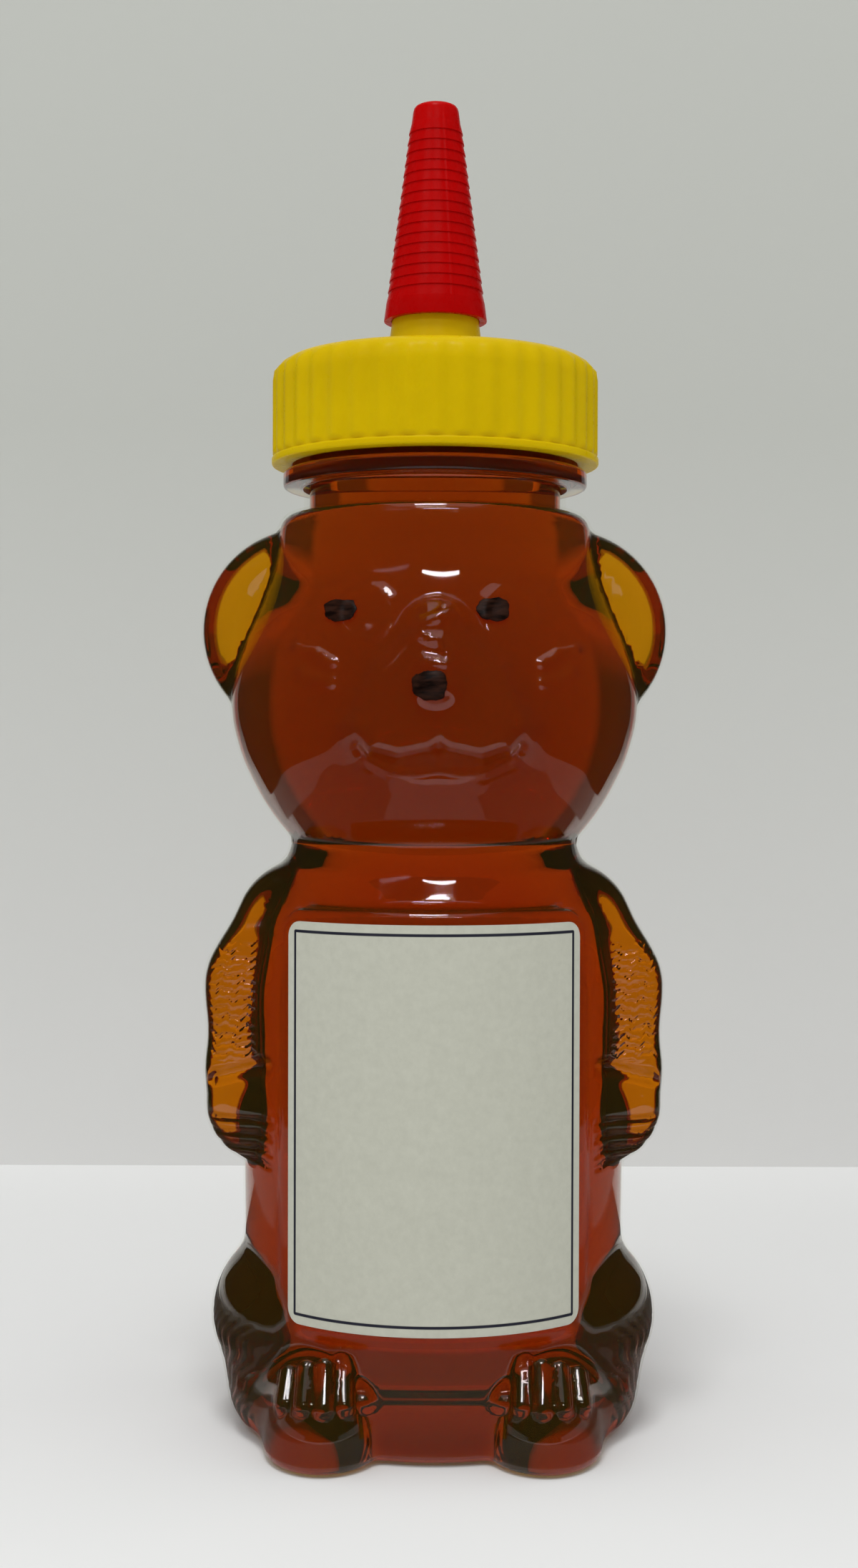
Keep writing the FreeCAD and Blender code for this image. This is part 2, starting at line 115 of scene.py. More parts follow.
def limb(x, y, z, a, ra, b, rb):
    # a round cone between two balls
    ax, ay, az = (b[0] - a[0]), (b[1] - a[1]), (b[2] - a[2])
    long = ax * ax + ay * ay + az * az
    t = np.clip(((x - a[0]) * ax + (y - a[1]) * ay + (z - a[2]) * az) / long, 0, 1)
    dx, dy, dz = x - a[0] - t * ax, y - a[1] - t * ay, z - a[2] - t * az
    return np.sqrt(dx * dx + dy * dy + dz * dz) - (ra + (rb - ra) * t)


def flatLimb(x, y, z, a, ra, b, rb, depth, power):
    # the same seen from the front, but with a flat front and back
    ax, az = b[0] - a[0], b[2] - a[2]
    t = np.clip(((x - a[0]) * ax + (z - a[2]) * az) / (ax * ax + az * az), 0, 1)
    across = np.hypot(x - a[0] - t * ax, z - a[2] - t * az)
    radius = ra + (rb - ra) * t
    deep = np.abs(y - a[1] - t * (b[1] - a[1])) * radius / depth
    both = (across ** power + deep ** power) ** (1 / power)
    steep = np.sqrt(across ** (2 * power - 2) + (deep ** (power - 1) * radius / depth) ** 2)
    slope = steep / np.maximum(both, 0.1) ** (power - 1)
    return (both - radius) / np.maximum(slope, 0.3)


# the bear is one smooth field, in millimetres, negative inside

bear = {
    "trunk": [(0, 23.8), (1.5, 25.0), (6, 25.3), (12.8, 25.5), (34, 25.8), (58.5, 25.4), (66, 24.0),
              (70.2, 22.2), (74, 20.4), (78.5, 19.0)],
    "trunkRound": 0.9,
    "trunkTop": 80.0,
    "head": [(75.5, 17.6), (77.6, 19.6), (80, 21.6), (83, 23.6), (88, 26.1), (93, 27.5), (97, 27.7),
             (101, 26.9), (105, 25.3), (108.5, 23.7), (113, 22.1), (117, 21.3), (121.5, 21.1)],
    "headRound": 1.2,
    "headLow": 74.5,
    "crown": 121.3,
    "crownRound": 2.6,
    "wall": 0.25,
    "honeyGap": 0.03,
    "panelRadius": 26.15,
    "panelInside": 18.0,
    "panelHalf": 23.3,
    "panelLow": 15.1,
    "panelHigh": 69.7,
    "panelCorner": 4.0,
    "earAt": (17.5, 0.0, 105.5),
    "earRadius": 14.1,
    "earDeep": 7.0,
    "earRim": 4.9,
    "earScoop": (10.3, 1.9),
    # the arm's middle line: places and radii from shoulder, elbow and wrist to palm
    "arm": [((17.2, -1.0, 65.5), 9.6), ((21.2, -2.2, 58.2), 9.0), ((22.0, -3.2, 47.5), 8.3),
            ((22.2, -3.6, 43.0), 8.1)],
    "armDepth": 8.6,
    "armPower": 5.0,
    "hand": ((22.0, -4.3, 41.8), (7.5, 8.5, 7.0)),
    "thigh": ((17.7, -2.7, 14.5), (12.0, 16.0, 11.4)),
    "calf": ((16.8, -4.5, 5.5), (10.6, 15.5, 9.0)),
    "foot": ((13.9, -18.6, 3.0), (8.0, 10.4, 10.5)),
    "toes": [((8.8, -24.1, 8.0), (9.4, -21.3, 10.6)), ((11.0, -26.1, 8.2), (11.2, -22.4, 12.0)),
             ((13.5, -26.9, 8.0), (13.5, -23.9, 12.4)), ((16.0, -26.5, 8.2), (15.8, -23.3, 12.0)),
             ((18.5, -24.8, 8.0), (18.1, -21.9, 11.0))],
    "toeRadius": (1.45, 1.5),
    "muzzle": ((0.3, -21.0, 86.0), (24.0, 9.3, 26.0)),
    "muzzleOutline": [(-8.8, 92.4), (-7.3, 90.0), (-4.4, 89.0), (-0.8, 89.7), (0.5, 90.6), (1.8, 89.7),
                      (5.6, 89.0), (8.4, 90.2), (9.8, 92.4), (8.6, 95.6), (6.9, 98.7), (4.1, 100.9),
                      (0.3, 101.7), (-3.5, 100.9), (-6.1, 98.9), (-7.6, 95.6)],
    "muzzleDraft": 0.62,
    "muzzleZone": (-16.0, 80.0, 114.0),
    "bridge": ((0.2, -24.5, 101.5), (4.6, 4.2, 7.0)),
    "noseBall": ((0.1, -28.6, 97.2), (3.0, 2.5, 2.6)),
    "dish": 16.0,
    "dishDepth": 1.9,
    "box": ((-33.5, -33.5, -2.5), (33.5, 30.5, 124.5)),
    "step": 1.05,
    "quickStep": 1.3,
    "insideStep": 1.4,
}

# how wide the soft join of each form is
joins = {
    "trunkTop": 0.6, "panelEdge": 1.8, "panel": 1.0, "elbow": 2.0, "palm": 1.0, "hand": 1.6, "arm": 1.2,
    "calf": 3.0, "foot": 3.0, "toe": 0.5, "leg": 1.4, "earBowl": 0.8, "ear": 0.9, "muzzleEdge": 1.0,
    "bridge": 2.0, "noseBall": 1.2, "muzzle": 0.8, "head": 0.9, "base": 0.9, "dish": 0.8,
}

trunkCurve = roundedCurve(bear["trunk"], bear["trunkRound"])
headCurve = roundedCurve(bear["head"], bear["headRound"])


def turned(curve, rho, z):
    radius = np.interp(z, curve[0], curve[1])
    slope = np.interp(z, curve[0], curve[2])
    return (rho - radius) / np.sqrt(1 + slope * slope)


def lineGaps(u, v, points):
    # for each stretch of a bent line in a flat view: its ends, and how far off it is
    for (u0, v0), (u1, v1) in zip(points[:-1], points[1:]):
        du, dv = u1 - u0, v1 - v0
        t = np.clip(((u - u0) * du + (v - v0) * dv) / (du * du + dv * dv), 0, 1)
        yield u0, v0, u1, v1, np.hypot(u - u0 - t * du, v - v0 - t * dv)


def outlineGap(u, v, points):
    # distance to a closed outline in a flat view, negative inside it
    best = np.full(u.shape, 1e9)
    within = np.zeros(u.shape, dtype=bool)
    for u0, v0, u1, v1, gap in lineGaps(u, v, points + points[:1]):
        best = np.minimum(best, gap)
        if v0 != v1:
            within ^= ((v0 > v) != (v1 > v)) & (u < u0 + (v - v0) * (u1 - u0) / (v1 - v0))
    return np.where(within, -best, best)


def muzzleField(x, y, z):
    # a low plateau with sloping flanks, two lobes wide at the mouth
    at, half = bear["muzzle"]
    draft = bear["muzzleDraft"]
    behind = y - at[1] + half[1]
    flank = (outlineGap(x, z, bear["muzzleOutline"]) - draft * behind) / math.hypot(1, draft)
    muzzle = smoothMax(egg(x, y, z, at, half), flank, joins["muzzleEdge"])
    muzzle = smoothMin(muzzle, egg(x, y, z, *bear["bridge"]), joins["bridge"])
    return smoothMin(muzzle, egg(x, y, z, *bear["noseBall"]), joins["noseBall"])


def bearField(x, y, z):
    b, j = bear, joins
    ax = np.abs(x)
    rho = np.sqrt(x * x + y * y)
    trunk = smoothMax(turned(trunkCurve, rho, z), z - b["trunkTop"], j["trunkTop"])
    # the raised front panel, a rounded sheet in arc and height
    arc = np.abs(np.arctan2(x, -y)) * b["panelRadius"]
    mid, high = (b["panelLow"] + b["panelHigh"]) / 2, (b["panelHigh"] - b["panelLow"]) / 2
    u = arc - b["panelHalf"] + b["panelCorner"]
    v = np.abs(z - mid) - high + b["panelCorner"]
    beyond = np.hypot(np.maximum(u, 0), np.maximum(v, 0))
    sheet = beyond + np.minimum(np.maximum(u, v), 0) - b["panelCorner"]
    panel = smoothMax(np.maximum(rho - b["panelRadius"], b["panelInside"] - rho), sheet, j["panelEdge"])
    field = smoothMin(trunk, panel, j["panel"])
    # arms, hands, thighs and feet, mirrored by the absolute x
    upper, lower, palm = [flatLimb(ax, y, z, *start, *end, b["armDepth"], b["armPower"])
                          for start, end in zip(b["arm"][:-1], b["arm"][1:])]
    arm = smoothMin(smoothMin(upper, lower, j["elbow"]), palm, j["palm"])
    arm = smoothMin(arm, egg(ax, y, z, *b["hand"]), j["hand"])
    field = smoothMin(field, arm, j["arm"])
    leg = smoothMin(egg(ax, y, z, *b["thigh"]), egg(ax, y, z, *b["calf"]), j["calf"])
    leg = smoothMin(leg, egg(ax, y, z, *b["foot"]), j["foot"])
    for low, high in b["toes"]:
        toe = limb(ax, y, z, low, b["toeRadius"][0], high, b["toeRadius"][1])
        leg = smoothMin(leg, toe, j["toe"])
    field = smoothMin(field, leg, j["leg"])
    # head, ears, muzzle
    ends = np.maximum(z - b["crown"], b["headLow"] - z)
    head = smoothMax(turned(headCurve, rho, z), ends, b["crownRound"])
    reach = np.hypot(ax - b["earAt"][0], z - b["earAt"][2])
    ear = egg(ax, y, z, b["earAt"], (b["earRadius"], b["earDeep"], b["earRadius"]))
    wide, deep = b["earScoop"]
    bowl = (wide ** 2 + deep ** 2) / (2 * deep)
    scoop = np.sqrt(reach * reach + (y + b["earRim"] + bowl - deep) ** 2) - bowl
    ear = smoothMax(ear, -scoop, j["earBowl"])
    head = smoothMin(head, ear, j["ear"])
    # the muzzle is worked out near the face, and far away elsewhere
    front, low, high = b["muzzleZone"]
    muzzle = np.full(x.shape, 9.0)
    near = (y < front) & (z > low) & (z < high)
    muzzle[near] = muzzleField(x[near], y[near], z[near])
    head = smoothMin(head, muzzle, j["muzzle"])
    field = smoothMin(field, head, j["head"])
    # the dish under the base
    ball = (b["dish"] ** 2 + b["dishDepth"] ** 2) / (2 * b["dishDepth"])
    under = np.sqrt(x * x + y * y + (z + ball - b["dishDepth"]) ** 2) - ball
    return smoothMax(smoothMax(field, -z, j["base"]), -under, j["dish"])


def strokeHeight(u, v, points, width, height):
    # a soft ridge or groove along a bent line in a flat view
    best = np.full(u.shape, 1e9)
    for *_, gap in lineGaps(u, v, points):
        best = np.minimum(best, gap)
    return height * np.exp(-((best / width) ** 2))


face = {
    "front": (8.0, 4.0),
    "low": (82.0, 2.0),
    "high": (115.0, 2.0),
}
# lines in the front view, each with its width and its height
faceLines = {
    "lip": ([(-9.6, 89.6), (-8.2, 88.0), (-5.6, 86.7), (-2.4, 86.2), (0.5, 86.6), (3.2, 86.2), (6.4, 86.7),
             (9.2, 88.0), (10.6, 89.6)], 0.6, -0.4),
    "browLeft": ([(-12.6, 110.0), (-9.8, 110.6), (-7.0, 109.8), (-5.4, 108.4)], 0.8, 0.14),
    "cheekLeft": ([(-17.4, 102.2), (-15.0, 101.6), (-12.8, 100.2)], 0.65, 0.7),
    "foldLeft": ([(-16.6, 99.0), (-14.8, 98.1), (-13.0, 97.8)], 0.8, 0.55),
    "browRight": ([(13.0, 110.0), (10.4, 110.6), (7.6, 109.8), (6.2, 108.4)], 0.8, 0.14),
    "cheekRight": ([(17.9, 102.2), (15.5, 101.6), (13.3, 100.2)], 0.65, 0.7),
    "foldRight": ([(17.1, 99.0), (15.3, 98.1), (13.5, 97.8)], 0.8, 0.55),
    "bridgeHigh": ([(-1.6, 104.9), (0.2, 105.6), (1.7, 106.4)], 0.85, 0.8),
    "bridgeMiddle": ([(-1.9, 103.4), (0.6, 102.6), (1.7, 101.3)], 0.85, 0.8),
    "bridgeLow": ([(-1.5, 100.4), (1.6, 99.9)], 0.85, 0.8),
}
eyeDisc = {
    "at": [(-8.8, 106.4), (9.6, 106.4)],
    "radius": 3.3,
    "ring": (0.6, 0.2),
    "dome": (2.6, 0.15),
}

fur = {
    "front": (6.5, 3.0),
    "edge": (29.6, 1.0),
    "armSide": (23.0, 1.0),
    "armLow": (48.6, 1.0),
    "armHigh": (65.0, 2.0),
    "armPitch": 1.1,
    "armDepth": 0.2,
    "armLine": 0.2,
    "handSide": (20.5, 1.5),
    "wrist": 47.3,
    "wristDepth": 0.9,
    "wristWidth": 0.9,
    "fingers": [42.4, 40.5, 38.6, 36.8],
    "fingerDepth": 0.42,
    "fingerWidth": 0.38,
    "thighSide": (22.0, 2.0),
    "thighHigh": (16.5, 3.0),
    "thighLow": (1.8, 1.5),
    "thighFront": (-19.0, 3.0),
    "thighPitch": 1.6,
    "thighDepth": 0.08,
}


def faceHeight(x, y, z):
    # the folds of the face and the shallow discs under the eyes
    bumps = np.zeros(x.shape)
    for line in faceLines.values():
        bumps += strokeHeight(x, z, *line)
    ringWidth, ringRise = eyeDisc["ring"]
    domeRadius, domeRise = eyeDisc["dome"]
    for ex, ez in eyeDisc["at"]:
        far = np.hypot(x - ex, z - ez)
        bumps += ringRise * np.exp(-((far - eyeDisc["radius"]) / ringWidth) ** 2)
        bumps += domeRise * np.clip(1 - (far / domeRadius) ** 2, 0, 1)
    return bumps * past(-y, *face["front"]) * past(z, *face["low"]) * short(z, *face["high"])


def detailHeight(x, y, z):
    # how far the fine moulded detail stands out of the smooth form
    w = fur
    ax = np.abs(x)
    out = faceHeight(x, y, z)
    # fur on the arms: wavy broken lines pressed in
    ahead = past(-y, *w["front"]) * short(ax, *w["edge"])
    arm = ahead * past(ax, *w["armSide"]) * past(z, *w["armLow"]) * short(z, *w["armHigh"])
    wave = 0.2 * np.sin(2.3 * x + 0.31 * z) + 0.12 * np.sin(4.9 * x - 0.7 * z)
    wave += 0.2 * np.sin(1.1 * y + 0.4 * z)
    line = (z + wave) / w["armPitch"]
    off = (line - np.floor(line) - 0.5) * w["armPitch"]
    broken = np.clip(0.8 + 0.5 * np.sin(1.2 * x + 0.8 * y + 2.4 * np.floor(line)), 0.2, 1)
    out -= w["armDepth"] * np.exp(-((off / w["armLine"]) ** 2)) * broken * arm
    # the wrist's fold and the fingers: grooves across the hand
    hand = past(ax, *w["handSide"]) * ahead
    fold = (z - w["wrist"] + 0.25 * (ax - 26)) / w["wristWidth"]
    out -= w["wristDepth"] * np.exp(-(fold ** 2)) * hand
    for level in w["fingers"]:
        groove = (z - level - 0.12 * (y + 4)) / w["fingerWidth"]
        out -= w["fingerDepth"] * np.exp(-(groove ** 2)) * hand
    # fur on the thighs: slanting strokes
    thigh = past(ax, *w["thighSide"]) * short(z, *w["thighHigh"])
    thigh *= past(z, *w["thighLow"]) * past(y, *w["thighFront"])
    slant = y * 0.8 + z * 0.62 + 0.35 * np.sin(1.3 * z)
    out += w["thighDepth"] * np.sin(2 * math.pi * slant / w["thighPitch"]) * thigh
    return out


def formField(x, y, z):
    return bearField(x, y, z) - detailHeight(x, y, z)


def slopeOf(field, p, reach=0.05):
    g = np.empty_like(p)
    for i in range(3):
        a, b = p.copy(), p.copy()
        a[:, i] += reach
        b[:, i] -= reach
        g[:, i] = (field(*a.T) - field(*b.T)) / (2 * reach)
    return g


def settle(field, p, level, rounds=3):
    # moves points on to the surface where the field has the given level
    for _ in range(rounds):
        g = slopeOf(field, p)
        d = field(*p.T) - level
        p = p - g * (np.clip(d, -1, 1) / np.maximum((g * g).sum(1), 0.2))[:, None]
    g = slopeOf(field, p)
    return p, g / np.linalg.norm(g, axis=1)[:, None]


def gridField(step):
    # the field's values on a grid over the whole bear, a few layers at a time
    lo, hi = np.array(bear["box"])
    counts = np.ceil((hi - lo) / step).astype(int) + 1
    xs, ys, zs = (lo[i] + step * np.arange(counts[i]) for i in range(3))
    values = np.empty(counts, dtype=np.float32)
    layers = 8
    for k in range(0, counts[2], layers):
        block = np.meshgrid(xs, ys, zs[k : k + layers], indexing="ij")
        values[:, :, k : k + layers] = bearField(*block)
    return lo, step, values


def skinQuads(grid, level):
    # one point in each grid cell that the surface crosses, joined into quads
    lo, step, values = grid
    inside = values < level
    cell = np.zeros(tuple(n - 1 for n in values.shape), dtype=np.int8)
    for i, j, k in np.ndindex(2, 2, 2):
        cell += inside[i : i + cell.shape[0], j : j + cell.shape[1], k : k + cell.shape[2]]
    crossed = (cell > 0) & (cell < 8)
    index = np.full(cell.shape, -1, dtype=np.int64)
    where = np.argwhere(crossed)
    index[crossed] = np.arange(len(where))
    points = lo + step * (where + 0.5)
    quads = []
    for axis in range(3):
        a, b = [i for i in range(3) if i != axis]
        first = np.take(inside, range(values.shape[axis] - 1), axis)
        second = np.take(inside, range(1, values.shape[axis]), axis)
        edge = np.argwhere(first != second)
        for i in (a, b):
            edge = edge[(edge[:, i] > 0) & (edge[:, i] < cell.shape[i])]
        corners = []
        for da, db in ((1, 1), (0, 1), (0, 0), (1, 0)):
            c = edge.copy()
            c[:, a] -= da
            c[:, b] -= db
            corners.append(index[tuple(c.T)])
        q = np.stack(corners, 1)
        out = first[tuple(edge.T)]
        if axis == 1:
            out = ~out
        q[~out] = q[~out][:, ::-1]
        quads.append(q)
    quads = np.concatenate(quads)
    return points, quads[(quads >= 0).all(1)]


def turnedRing(bm, radius, level, count):
    ring = []
    for i in range(count):
        a = 2 * math.pi * i / count
        ring.append(bm.verts.new((radius * math.cos(a), radius * math.sin(a), level)))
    return ring


def joinRings(bm, low, high):
    n = len(low)
    for i in range(n):
        bm.faces.new((low[i], low[(i + 1) % n], high[(i + 1) % n], high[i]))


def onDetail(c):
    # where the mesh is made finer: face, arms and legs
    onFace = c.y < -10 and 83 < c.z < 114
    onArm = abs(c.x) > 22 and 33 < c.z < 70
    onLeg = 0.3 < c.z < 17 and (abs(c.x) > 22 or c.y < -19)
    return onFace or onArm or onLeg


def onFur(c):
    # and finer again: the arms' fur and the fingers
    return abs(c.x) > 20 and c.y < -5 and 34 < c.z < 65


def subdivideWhere(bm, wanted):
    fine = {f for f in bm.faces if wanted(f.calc_center_median())}
    edges = [e for e in bm.edges if any(f in fine for f in e.link_faces)]
    bmesh.ops.subdivide_edges(bm, edges=edges, cuts=1, use_grid_fill=True)


def bearSkin(grid, level, mouth, refine):
    # the bear's skin at one depth, open at the mouth, with its fine detail
    points, quads = skinQuads(grid, level)
    points, _ = settle(bearField, points, level)
    bm = bmesh.new()
    verts = [bm.verts.new(p) for p in points]
    for q in quads:
        bm.faces.new([verts[i] for i in q])
    # open the top inside the mouth's radius
    top = bear["crown"] + level - 1.0
    middles = [(f, f.calc_center_median()) for f in bm.faces]
    gone = [f for f, c in middles if c.z > top and math.hypot(*c.xy) < mouth]
    bmesh.ops.delete(bm, geom=gone, context="FACES")
    if refine:
        subdivideWhere(bm, onDetail)
        subdivideWhere(bm, onFur)
    loose = [v for v in bm.verts if not v.link_faces]
    bmesh.ops.delete(bm, geom=loose, context="VERTS")
    bm.verts.index_update()
    p = np.array([v.co[:] for v in bm.verts])
    p, n = settle(formField, p, level)
    for v, q in zip(bm.verts, p):
        v.co = q
    return bm, n


skinStep = bear["step"]
grid = gridField(skinStep)
coarse = gridField(bear["insideStep"])
print("bear field", grid[2].shape)


def glossNodes(name):
    mat = bpy.data.materials.new(name)
    mat.use_nodes = True
    tree = mat.node_tree
    tree.nodes.clear()
    return mat, tree, tree.nodes.new("ShaderNodeOutputMaterial")


def node(tree, kind, values=None, **settings):
    # a new node with its settings, and with its inputs set or linked
    made = tree.nodes.new(kind)
    for key, value in settings.items():
        setattr(made, key, value)
    for key, value in (values or {}).items():
        if isinstance(value, bpy.types.NodeSocket):
            tree.links.new(value, made.inputs[key])
        else:
            made.inputs[key].default_value = value
    return made


def calc(tree, how, *values, clamp=False):
    made = node(tree, "ShaderNodeMath", dict(enumerate(values)), operation=how, use_clamp=clamp)
    return made.outputs[0]


def ramp(tree, source, stops):
    made = node(tree, "ShaderNodeValToRGB", {0: source})
    while len(made.color_ramp.elements) < len(stops):
        made.color_ramp.elements.new(0.5)
    for element, (at, colour) in zip(made.color_ramp.elements, stops):
        element.position = at
        element.color = (*colour, 1.0)
    return made.outputs[0]


def greyRamp(tree, source, low, high):
    return ramp(tree, source, [(0.3, (low,) * 3), (0.7, (high,) * 3)])


def colourMix(tree, share, first, second):
    mix = node(tree, "ShaderNodeMix", {"Factor": share, 6: first, 7: second}, data_type="RGBA")
    return mix.outputs[2]


def objectNoise(tree, scale, detail, rough=0.5, stretch=(1, 1, 1)):
    # a noise that stays with the object
    coords = node(tree, "ShaderNodeTexCoord")
    place = node(tree, "ShaderNodeMapping", {"Vector": coords.outputs["Object"], "Scale": stretch})
    noise = node(tree, "ShaderNodeTexNoise", {
        "Vector": place.outputs[0], "Scale": scale, "Detail": detail, "Roughness": rough})
    return noise.outputs["Fac"]


def bumpNormal(tree, height, strength, distance):
    bump = node(tree, "ShaderNodeBump", {"Height": height, "Strength": strength, "Distance": distance})
    return bump.outputs["Normal"]


def principled(tree, out, values):
    body = node(tree, "ShaderNodeBsdfPrincipled", values)
    tree.links.new(body.outputs[0], out.inputs["Surface"])


def clearPlastic():
    # a thin clear wall: straight through, with gloss on its outward faces
    mat, tree, out = glossNodes("clearPlastic")
    normal = bumpNormal(tree, objectNoise(tree, 140.0, 1.0), 0.03, 0.0006)
    clear = node(tree, "ShaderNodeBsdfTransparent", {"Color": (0.985, 0.985, 0.975, 1)})
    gloss = node(tree, "ShaderNodeBsdfGlossy", {"Color": (1, 1, 1, 1), "Roughness": 0.03, "Normal": normal})
    fresnel = node(tree, "ShaderNodeFresnel", {"IOR": 1.5, "Normal": normal})
    side = node(tree, "ShaderNodeNewGeometry")
    facing = calc(tree, "SUBTRACT", 1.0, side.outputs["Backfacing"])
    share = calc(tree, "MULTIPLY", calc(tree, "MINIMUM", fresnel.outputs["Fac"], 0.045), facing)
    mix = node(tree, "ShaderNodeMixShader", {"Fac": share, 1: clear.outputs[0], 2: gloss.outputs[0]})
    tree.links.new(mix.outputs[0], out.inputs["Surface"])
    return mat


def clearRing():
    # the thick clear plastic of the neck's bead and thread
    mat, tree, out = glossNodes("clearRing")
    haze = objectNoise(tree, 300.0, 2.0)
    principled(tree, out, {
        "Base Color": (0.97, 0.97, 0.95, 1), "IOR": 1.45, "Transmission Weight": 1.0,
        "Roughness": greyRamp(tree, haze, 0.01, 0.06)})
    return mat


honeyLook = {
    "tint": (1.0, 0.68, 0.07, 1),
    "clear": 0.98,                   # the rest is a faint cloudiness
    "absorb": (26.0, 84.0, 400.0),   # per metre for red, green and blue
    "ior": 1.49,
}


def honeyLiquid():
    mat, tree, out = glossNodes("honeyLiquid")
    principled(tree, out, {
        "Base Color": honeyLook["tint"], "Roughness": 0.0, "IOR": honeyLook["ior"],
        "Transmission Weight": honeyLook["clear"], "Specular Tint": (0.1, 0.1, 0.1, 1),
        "Specular IOR Level": 0.05})
    most = max(honeyLook["absorb"])
    colour = tuple(1 - a / most for a in honeyLook["absorb"])
    depth = node(tree, "ShaderNodeVolumeAbsorption", {"Color": (*colour, 1), "Density": most})
    tree.links.new(depth.outputs[0], out.inputs["Volume"])
    return mat


def mouldedPlastic(name, colour, deep, rough, grainScale, soft=0.0):
    # coloured plastic with slight streaks and a fine skin; soft lets light in under it
    mat, tree, out = glossNodes(name)
    cloud = objectNoise(tree, 90.0, 4.0, 0.6)
    grain = objectNoise(tree, grainScale, 3.0)
    principled(tree, out, {
        "Base Color": ramp(tree, cloud, [(0.3, deep), (0.7, colour)]),
        "Roughness": greyRamp(tree, grain, rough - 0.07, rough + 0.09),
        "Normal": bumpNormal(tree, grain, 0.12, 0.0002),
        "IOR": 1.5, "Specular IOR Level": 0.04, "Subsurface Weight": soft,
        "Subsurface Scale": 0.0015, "Subsurface Radius": (1.0, 0.6, 0.15)})
    return mat


def latheMesh(name, profile, segments, bump=None, start=0.0, sweep=2 * math.pi):
    # turns a closed profile of (radius, level) round the axis, or through a part of a turn
    whole = sweep == 2 * math.pi
    columns = segments if whole else segments + 1
    verts, faces, count = [], [], len(profile)
    for i in range(columns):
        a = start + sweep * i / segments
        for r, z in profile:
            rr = r + (bump(r, z, a) if bump else 0.0)
            verts.append((rr * math.cos(a) * mm, rr * math.sin(a) * mm, z * mm))
    for i in range(segments):
        j = (i + 1) % columns
        for k in range(count):
            m = (k + 1) % count
            if profile[k][0] == 0 and profile[m][0] == 0:
                continue
            faces.append((i * count + k, j * count + k, j * count + m, i * count + m))
    mesh = meshFrom(name, verts, faces)
    if whole:
        outwardFaces(mesh, weld=1e-6)
    return mesh


def softCorners(points):
    # rounds a profile's corners: each point is (radius, level, corner radius)
    made, n = [], len(points)
    for i, (r, z, c) in enumerate(points):
        here = Vector((r, z))
        if c <= 0:
            made.append((r, z))
            continue
        before = Vector(points[i - 1][:2]) - here
        after = Vector(points[(i + 1) % n][:2]) - here
        cut = min(c, before.length * 0.48, after.length * 0.48)
        a, b = here + before.normalized() * cut, here + after.normalized() * cut
        for t in (0.0, 0.25, 0.5, 0.75, 1.0):
            p = a.lerp(here, t).lerp(here.lerp(b, t), t)
            made.append((p.x, p.y))
    return made


def nodeTree(name, inputs):
    # a geometry tree with named inputs; the first is the geometry
    tree = bpy.data.node_groups.new(name, "GeometryNodeTree")
    tree.interface.new_socket("Geometry", in_out="INPUT", socket_type="NodeSocketGeometry")
    tree.interface.new_socket("Geometry", in_out="OUTPUT", socket_type="NodeSocketGeometry")
    for title, kind in inputs:
        tree.interface.new_socket(title, in_out="INPUT", socket_type="NodeSocket" + kind)
    return tree, tree.nodes.new("NodeGroupInput"), tree.nodes.new("NodeGroupOutput")


def grownMesh(name, base, tree, values):
    # runs a geometry tree on a mesh and returns the plain result
    holder = shownObject(name + "Grow", base, None)
    modifier = holder.modifiers.new("grow", "NODES")
    modifier.node_group = tree
    for item in tree.interface.items_tree:
        if item.item_type == "SOCKET" and item.in_out == "INPUT" and item.name in values:
            modifier[item.identifier] = values[item.name]
    seen = holder.evaluated_get(bpy.context.evaluated_depsgraph_get())
    mesh = bpy.data.meshes.new_from_object(seen)
    holder.modifiers.clear()
    bpy.data.objects.remove(holder)
    mesh.name = name
    return mesh


def aroundTree():
    # copies a wedge round the axis and welds the copies
    tree, start, end = nodeTree("gripAround", [
        ("Count", "Int"), ("Weld", "Float"), ("Finish", "Material")])
    given = start.outputs
    line = node(tree, "GeometryNodeMeshLine", {"Count": given["Count"], "Offset": (0, 0, 0)})
    index = node(tree, "GeometryNodeInputIndex")
    angle = calc(tree, "MULTIPLY", index.outputs[0], calc(tree, "DIVIDE", 2 * math.pi, given["Count"]))
    turn = node(tree, "ShaderNodeCombineXYZ", {"Z": angle})
    copies = node(tree, "GeometryNodeInstanceOnPoints", {
        "Points": line.outputs["Mesh"], "Instance": given["Geometry"], "Rotation": turn.outputs[0]})
    real = node(tree, "GeometryNodeRealizeInstances", {0: copies.outputs[0]})
    weld = node(tree, "GeometryNodeMergeByDistance", {
        "Geometry": real.outputs[0], "Distance": given["Weld"]})
    paint = node(tree, "GeometryNodeSetMaterial", {
        "Geometry": weld.outputs[0], "Material": given["Finish"]})
    tree.links.new(paint.outputs[0], end.inputs[0])
    return tree


